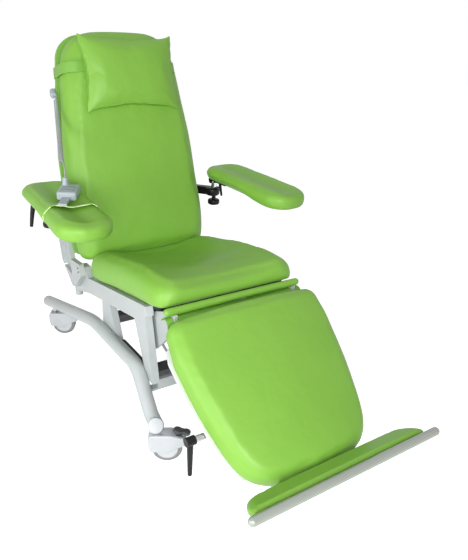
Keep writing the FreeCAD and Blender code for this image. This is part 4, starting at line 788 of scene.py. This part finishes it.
# On both faces: a rim, a step down, a flat ring and a raised middle.
bpy.ops.mesh.inset(thickness=0.006)
bpy.ops.mesh.inset(thickness=0.002, depth=-0.0008)
bpy.ops.mesh.inset(thickness=0.014)
bpy.ops.mesh.inset(thickness=0.002, depth=0.0020)
bpy.ops.object.mode_set(mode="OBJECT")
soften(hub, width=0.0006, segments=2)

# %% The pedal
arc_steps, pedal_half = 16, 0.006
outline = []
# Each round pad: its centre, its radius, and the angles where its arc starts and ends.
for centre, radius, start, end in ((0.0, 0.0155, 48, 312), (0.029, 0.0135, -128, 128)):
    for i in range(arc_steps + 1):
        angle = math.radians(start + (end - start) * i / arc_steps)
        outline.append((centre + radius * math.cos(angle), radius * math.sin(angle)))
pedal_mesh = bpy.data.meshes.new("pedal_pattern")
count = len(outline)
pedal_points = [(x, y, z) for z in (-pedal_half, pedal_half) for x, y in outline]
pedal_ends = [tuple(reversed(range(count))), tuple(range(count, 2 * count))]
pedal_wall = [(i, (i + 1) % count, count + (i + 1) % count, count + i) for i in range(count)]
pedal_mesh.from_pydata(pedal_points, [], pedal_ends + pedal_wall)
pedal = bpy.data.objects.new("pedal_pattern", pedal_mesh)
bpy.context.scene.collection.objects.link(pedal)
soften(pedal, width=0.002)

# %% Four castors
wheel_side, wheel_height = 0.036, 0.05
pedal_x, pedal_height, pedal_slope = 0.071, 0.1115, math.radians(14)
pedal_place = Matrix.Translation((pedal_x, 0, pedal_height)) @ Matrix.Rotation(pedal_slope, 4, "Y")
cut_place, cut_way = Vector((wheel_side, 0, 0.047)), Vector((-0.35, 0, 0.937))
for word, side, end in (
        ("front_left", -1, -1), ("front_right", 1, -1), ("rear_left", -1, 1), ("rear_right", 1, 1)):
    place = castor_frame(side, end)
    put(hub, place @ Matrix.Translation((wheel_side, 0, wheel_height)), "hub_" + word, "wheel_" + word,
        grey_plastic)
    put(pedal, place @ pedal_place, "pedal_" + word, "pedal_" + word, pedal_grey,
        "castor_pedal_" + word)
    hood = bpy.data.objects.new("hood_" + word, nodes["castor_hood_" + word].data.copy())
    bpy.context.scene.collection.objects.link(hood)
    edit_all(hood)
    bpy.ops.mesh.remove_doubles(threshold=0.00001)
    bpy.ops.mesh.bisect(plane_co=place @ cut_place, plane_no=place.to_3x3() @ cut_way,
                        use_fill=True, clear_inner=True)
    bpy.ops.object.mode_set(mode="OBJECT")
    face_outwards(hood)
    bpy.ops.object.shade_smooth_by_angle(angle=math.radians(30))
    hood.data.materials.clear()
    hood.data.materials.append(grey_plastic)
    hand_over(hood, "hood_" + word, "castor_hood_" + word)
    print(hood.name, "faces", len(hood.data.polygons))
drop(hub)
drop(pedal)

# %% [markdown]
# A round cap closes the front end of each side tube. The handset's lead leaves through a
# tapered boot, which keeps it from kinking, and the curly cord through a collar on its elbow.
# The footrest's lever turns on a bare shaft with a washer. Each armrest's clamp has a rounded
# boss and a broad grip, and the left one's clamp lever is a bent handle that is thickest near
# its hub. All but the handle are cylinders or cones with rounded edges.

# %% Tube caps
cap_radius, cap_thick, cap_edge = 0.0255, 0.007, 0.0025
mouth_x, mouth_y, mouth_z = 0.3185, -0.5345, 0.1535
for word, side in (("left", -1), ("right", 1)):
    tube_cap = disc("cap_pattern", cap_radius, cap_thick)
    soften(tube_cap, cap_edge)
    facing = aimed((side * mouth_x, mouth_y, mouth_z), Vector((side * 0.25, -0.78, 0.57)))
    put(tube_cap, facing, "tube_cap_" + word, "base", grey_plastic)
    drop(tube_cap)


# %% The boot of the handset's lead
boot_low, boot_top = Vector((-0.36009, 0.05500, 0.797)), neck_tip + Vector((0, -0.0003, 0.004))
boot_wide, boot_narrow = 0.0125, 0.0075
bpy.ops.object.select_all(action="DESELECT")
bpy.ops.mesh.primitive_cone_add(vertices=32, radius1=boot_wide, radius2=boot_narrow,
                                depth=(boot_top - boot_low).length)
boot = bpy.context.object
boot.name = "boot_pattern"
soften(boot, width=0.0025)
put(boot, aimed((boot_low + boot_top) / 2, boot_top - boot_low), "lead_boot", "pad_left",
    handset_plastic)
drop(boot)


# %% The elbow's collar and the clamp lever's bare shaft
def collar(name, start, end, body, material, radius, edge):
    """A short cylinder with rounded edges between two points."""
    start, end = Vector(start), Vector(end)
    piece = disc(name + "_pattern", radius, (end - start).length, vertices=40)
    soften(piece, edge, segments=4)
    put(piece, aimed((start + end) / 2, end - start), name, body, material)
    drop(piece)


elbow_middle = Vector((-0.26053, 0.42576, 1.07575))
way = (elbow_mouth - elbow_middle).normalized()
collar_behind, collar_past = 0.034, 0.0015
collar("elbow_collar", elbow_mouth - way * collar_behind, elbow_mouth + way * collar_past, "back",
       handset_plastic, radius=0.0133, edge=0.005)
lever_y, lever_z = -0.7532, 0.2413
shaft_outer, shaft_inner, washer_outer, washer_inner = -0.301, -0.2385, -0.2425, -0.2378
collar("lever_shaft", (shaft_outer, lever_y, lever_z), (shaft_inner, lever_y, lever_z), "foot_lever",
       bare_steel, radius=0.0098, edge=0.0005)
collar("lever_washer", (washer_outer, lever_y, lever_z), (washer_inner, lever_y, lever_z), "leg",
       black_plastic, radius=0.0205, edge=0.0012)

# %% Armrest clamps: a rounded boss on each bracket and the knob's broad grip
boss_x, boss_y, boss_low, boss_high = 0.364, 0.246, 0.6405, 0.6765
grip_low, grip_high = 0.5985, 0.6225
for word, side in (("left", -1), ("right", 1)):
    collar("clamp_boss_" + word, (side * boss_x, boss_y, boss_low), (side * boss_x, boss_y, boss_high),
           "back", black_plastic, radius=0.031, edge=0.011)
    collar("knob_grip_" + word, (side * post_x, post_y, grip_low), (side * post_x, post_y, grip_high),
           "knob_" + word, black_plastic, radius=0.0265, edge=0.008)


# %% The bent handle
# Its line starts at the hub. Each point's radius stands in the second list.
handle_points = [left_pad_frame @ Vector(point) for point in (
    (-0.030, 0.0, 0.000), (-0.052, 0.0, -0.004), (-0.060, 0.004, -0.035), (-0.066, 0.010, -0.100))]
handle_radii = (0.0095, 0.0105, 0.0085, 0.0065)
handle = curve_through("tilt_handle_left", handle_points, handle_radii)
make_round(handle.data, fineness=5)
only(handle)
bpy.ops.object.convert(target="MESH")
handle = bpy.context.object
soften(handle, width=0.0015, segments=2, angle=50)
handle.data.materials.append(black_plastic)
hand_over(handle, "lever_left", "armrest_lever_left")
print("handle faces", len(handle.data.polygons))

# %% [markdown]
# The footrest's pad and the roll that closes the gap above the legrest are small, so they
# swell only a little. The roll is round and has no board, so it may swell on every side.

# %% Footrest pad and gap roll
foot_down, no_board = underside(tipped_frame(0, 0, -24.2)), Vector((0, 0, 0))
for node, name, body, down, voxel, cap in (
        ("footrest_pad", "foot_pad", "foot", foot_down, 0.005, 0.004),
        ("gap_roll", "roll", "base", no_board, 0.004, 0.002)):
    pad = solid_copy(node, name, voxel, shrink=0.002)
    swell(pad, cap, down)
    finish_cover(pad)
    hand_over(pad, body, node)

# %% [markdown]
# The headrest pillow is a loose cushion: two flat panels sewn along their edges and filled.
# It is made just so, from a thin flat box that the cloth solver blows up. The corners stay
# behind as small ears and the seams pucker, as they do on the real one. The blown shape is
# then blended with a plain dome, which fills the middle evenly, and its underside is pressed
# flat against the backrest.

# %% The pillow's flat box
pillow_half, pillow_low, pillow_high, pillow_thick = 0.196, 0.541, 0.817, 0.078
width_share, height_share, box_thick = 0.985, 1.04, 0.012
side_pinch, end_pinch = 0.015, 0.03
bpy.ops.object.select_all(action="DESELECT")
bpy.ops.mesh.primitive_cube_add(size=1)
pillow = bpy.context.object
pillow.name = "pillow"
edit_all(pillow)
bpy.ops.mesh.subdivide(number_cuts=35)
bpy.ops.object.mode_set(mode="OBJECT")
wide, tall = pillow_half * 2 * width_share, (pillow_high - pillow_low) * height_share
for vertex in pillow.data.vertices:
    x, y, z = vertex.co
    sides = 1 - side_pinch * (1 - (2 * y) ** 2)
    ends = 1 - end_pinch * (1 - (2 * x) ** 2)
    vertex.co = (x * wide * sides, y * tall * ends, z * box_thick)
pillow.data.update()
merge_points(pillow, distance=0.0001)

# %% Blow the pillow up
flat = [vertex.co.copy() for vertex in pillow.data.vertices]
quick_height, spread_share = 0.036, 0.5
swell(pillow, cap=0.060, seat=no_board, pressure=7.0, loose=True)
for vertex, start in zip(pillow.data.vertices, flat):
    vertex.co.x = start.x + (vertex.co.x - start.x) * spread_share
    vertex.co.y = start.y + (vertex.co.y - start.y) * spread_share
reach_x, reach_y, highest = (max(vertex.co[i] for vertex in pillow.data.vertices) for i in range(3))
print("pillow blown to", round(reach_x, 4), round(reach_y, 4), round(highest, 4))

# %% Fill the pillow's middle and press its underside flat
crown_share, seat_share, blown_share, pillow_seat = 0.62, 0.30, 0.35, 0.0085
dome_squareness, dome_fullness = 2.4, 0.6
grow = (pillow_thick * crown_share) / highest
floor_level = -pillow_thick * seat_share
pillow_middle = (0, (pillow_low + pillow_high) / 2, pillow_seat - floor_level)
pillow_frame = back_frame @ Matrix.Translation(pillow_middle)
for vertex in pillow.data.vertices:
    x, y = vertex.co.x * wide / 2 / reach_x, vertex.co.y * tall / 2 / reach_y
    u, v = min(1.0, abs(2 * x / wide)), min(1.0, abs(2 * y / tall))
    crown = ((1 - u ** dome_squareness) * (1 - v ** dome_squareness)) ** dome_fullness
    dome = math.copysign(highest * crown, vertex.co.z)
    z = (blown_share * vertex.co.z + (1 - blown_share) * dome) * grow
    vertex.co = pillow_frame @ Vector((x, y, max(z, floor_level)))
pillow.data.update()
finish_cover(pillow, smooth=1)
hand_over(pillow, "back", "headrest_pillow")

# %% [markdown]
# A flat strap holds the pillow. It runs round the backrest in one loop, so it is drawn as a
# rounded rectangle in the backrest's own frame, given its width, and then its thickness.

# %% The strap
strap_low, strap_high = 0.690, 0.730
shell_half, strap_clearance = 0.2423, 0.003
strap_half, strap_front, strap_rear = shell_half + strap_clearance, 0.0064, -0.1396
front_pull, rear_pull = 0.006, 0.002
right_round, left_round, rear_round = 0.080, 0.055, 0.010
strap_taper, strap_thick, strap_edge = 0.0028, 0.002, 0.0006
strap_rows, corner_steps = 6, 8


def strap_loop(y, taper):
    """Points of the strap's inner face at one height, with rounded corners."""
    right, left = strap_half - taper, -strap_half + taper
    corners = ((right - front_pull, strap_front, right_round), (left, strap_front, left_round),
               (left, strap_rear, rear_round), (right - rear_pull, strap_rear, rear_round))
    loop = []
    for i, (x, z, radius) in enumerate(corners):
        centre = Vector((x - math.copysign(radius, x), y, z - math.copysign(radius, z)))
        for j in range(corner_steps + 1):
            angle = math.pi / 2 * (i + j / corner_steps)
            loop.append(centre + Vector((math.cos(angle), 0, math.sin(angle))) * radius)
    return loop


strap_mesh = bpy.data.meshes.new("strap")
rows = [strap_loop(strap_low + (strap_high - strap_low) * i / strap_rows, strap_taper * i / strap_rows)
        for i in range(strap_rows + 1)]
count = len(rows[0])
strap_faces = []
for start in range(0, strap_rows * count, count):
    for i in range(count):
        after = (i + 1) % count
        strap_faces.append((start + i, start + after, start + count + after, start + count + i))
strap_mesh.from_pydata([back_frame @ point for row in rows for point in row], [], strap_faces)
strap = bpy.data.objects.new("pillow_band", strap_mesh)
bpy.context.scene.collection.objects.link(strap)
face_outwards(strap)
thick = strap.modifiers.new("thick", "SOLIDIFY")
thick.thickness = strap_thick
thick.offset = 1
bpy.ops.object.modifier_apply(modifier="thick")
soft = strap.modifiers.new("soft", "BEVEL")
soft.width = strap_edge
soft.segments = 2
soft.limit_method = "ANGLE"
bpy.ops.object.modifier_apply(modifier="soft")
bpy.ops.object.shade_smooth()
strap.data.materials.append(strap_vinyl)
hand_over(strap, "back", "pillow_strap")
print("strap faces", len(strap.data.polygons))

# %% [markdown]
# ## The studio
# A plain white floor with soft light that comes low from the front and from the side, and
# weakly from above. The floor and the world look white only to the camera, in reflections and
# through clear things, so they don't wash the chair out, and the floor keeps the chair's soft
# shadow.

# %% Floor
def looked_at(tree):
    """1 for rays from the camera, in mirrors or through glass, 0 for light that falls on things."""
    path = place_node(tree, "LightPath")
    seen = place_node(tree, "Math", {0: path.outputs["Is Camera Ray"], 1: path.outputs["Is Glossy Ray"]},
                      operation="MAXIMUM")
    shown = place_node(tree, "Math", {0: seen.outputs[0], 1: path.outputs["Is Transmission Ray"]},
                       operation="MAXIMUM")
    return shown.outputs[0]


bpy.ops.object.select_all(action="DESELECT")
bpy.ops.mesh.primitive_plane_add(size=30)
floor = bpy.context.object
floor.name = "floor"
floor_glow = 0.81
floor_paint = bpy.data.materials.new("floor_paint")
floor_paint.use_nodes = True
tree = floor_paint.node_tree
shader = tree.nodes["Principled BSDF"]
shader.inputs["Base Color"].default_value = (0.8, 0.8, 0.8, 1)
shader.inputs["Roughness"].default_value = 0.9
shader.inputs["Specular IOR Level"].default_value = 0.1
glow = place_node(tree, "Math", {0: looked_at(tree)}, operation="MULTIPLY")
glow.inputs[1].default_value = floor_glow
shader.inputs["Emission Color"].default_value = (1, 1, 1, 1)
tree.links.new(glow.outputs[0], shader.inputs["Emission Strength"])
floor.data.materials.append(floor_paint)

# %% World
room_light = 0.25
world = bpy.data.worlds.new("studio")
bpy.context.scene.world = world
world.use_nodes = True
tree = world.node_tree
backdrop = tree.nodes["Background"]
backdrop.inputs["Color"].default_value = (1, 1, 1, 1)
tree.links.new(map_range(tree, looked_at(tree), low=room_light), backdrop.inputs["Strength"])


# %% Lamps
def soft_lamp(name, place, aim, size, power):
    """A round lamp of a size in metres and a power in watts, turned towards its aim."""
    lamp = bpy.data.lights.new(name, "AREA")
    lamp.shape = "DISK"
    lamp.size = size
    lamp.energy = power
    stand = bpy.data.objects.new(name, lamp)
    stand.location = place
    stand.rotation_mode = "QUATERNION"
    stand.rotation_quaternion = (Vector(aim) - Vector(place)).to_track_quat("-Z", "Y")
    bpy.context.scene.collection.objects.link(stand)


soft_lamp("front_light", (-1.5, -2.8, 1.5), (0, -0.65, 0.35), size=1.5, power=76)
soft_lamp("top_light", (0.6, 0.2, 3.8), (0, -0.2, 0.5), size=2.8, power=10)
soft_lamp("side_light", (-3.0, -0.9, 0.9), (0, -0.3, 0.45), size=1.6, power=46)
bpy.context.scene.view_settings.view_transform = "Standard"
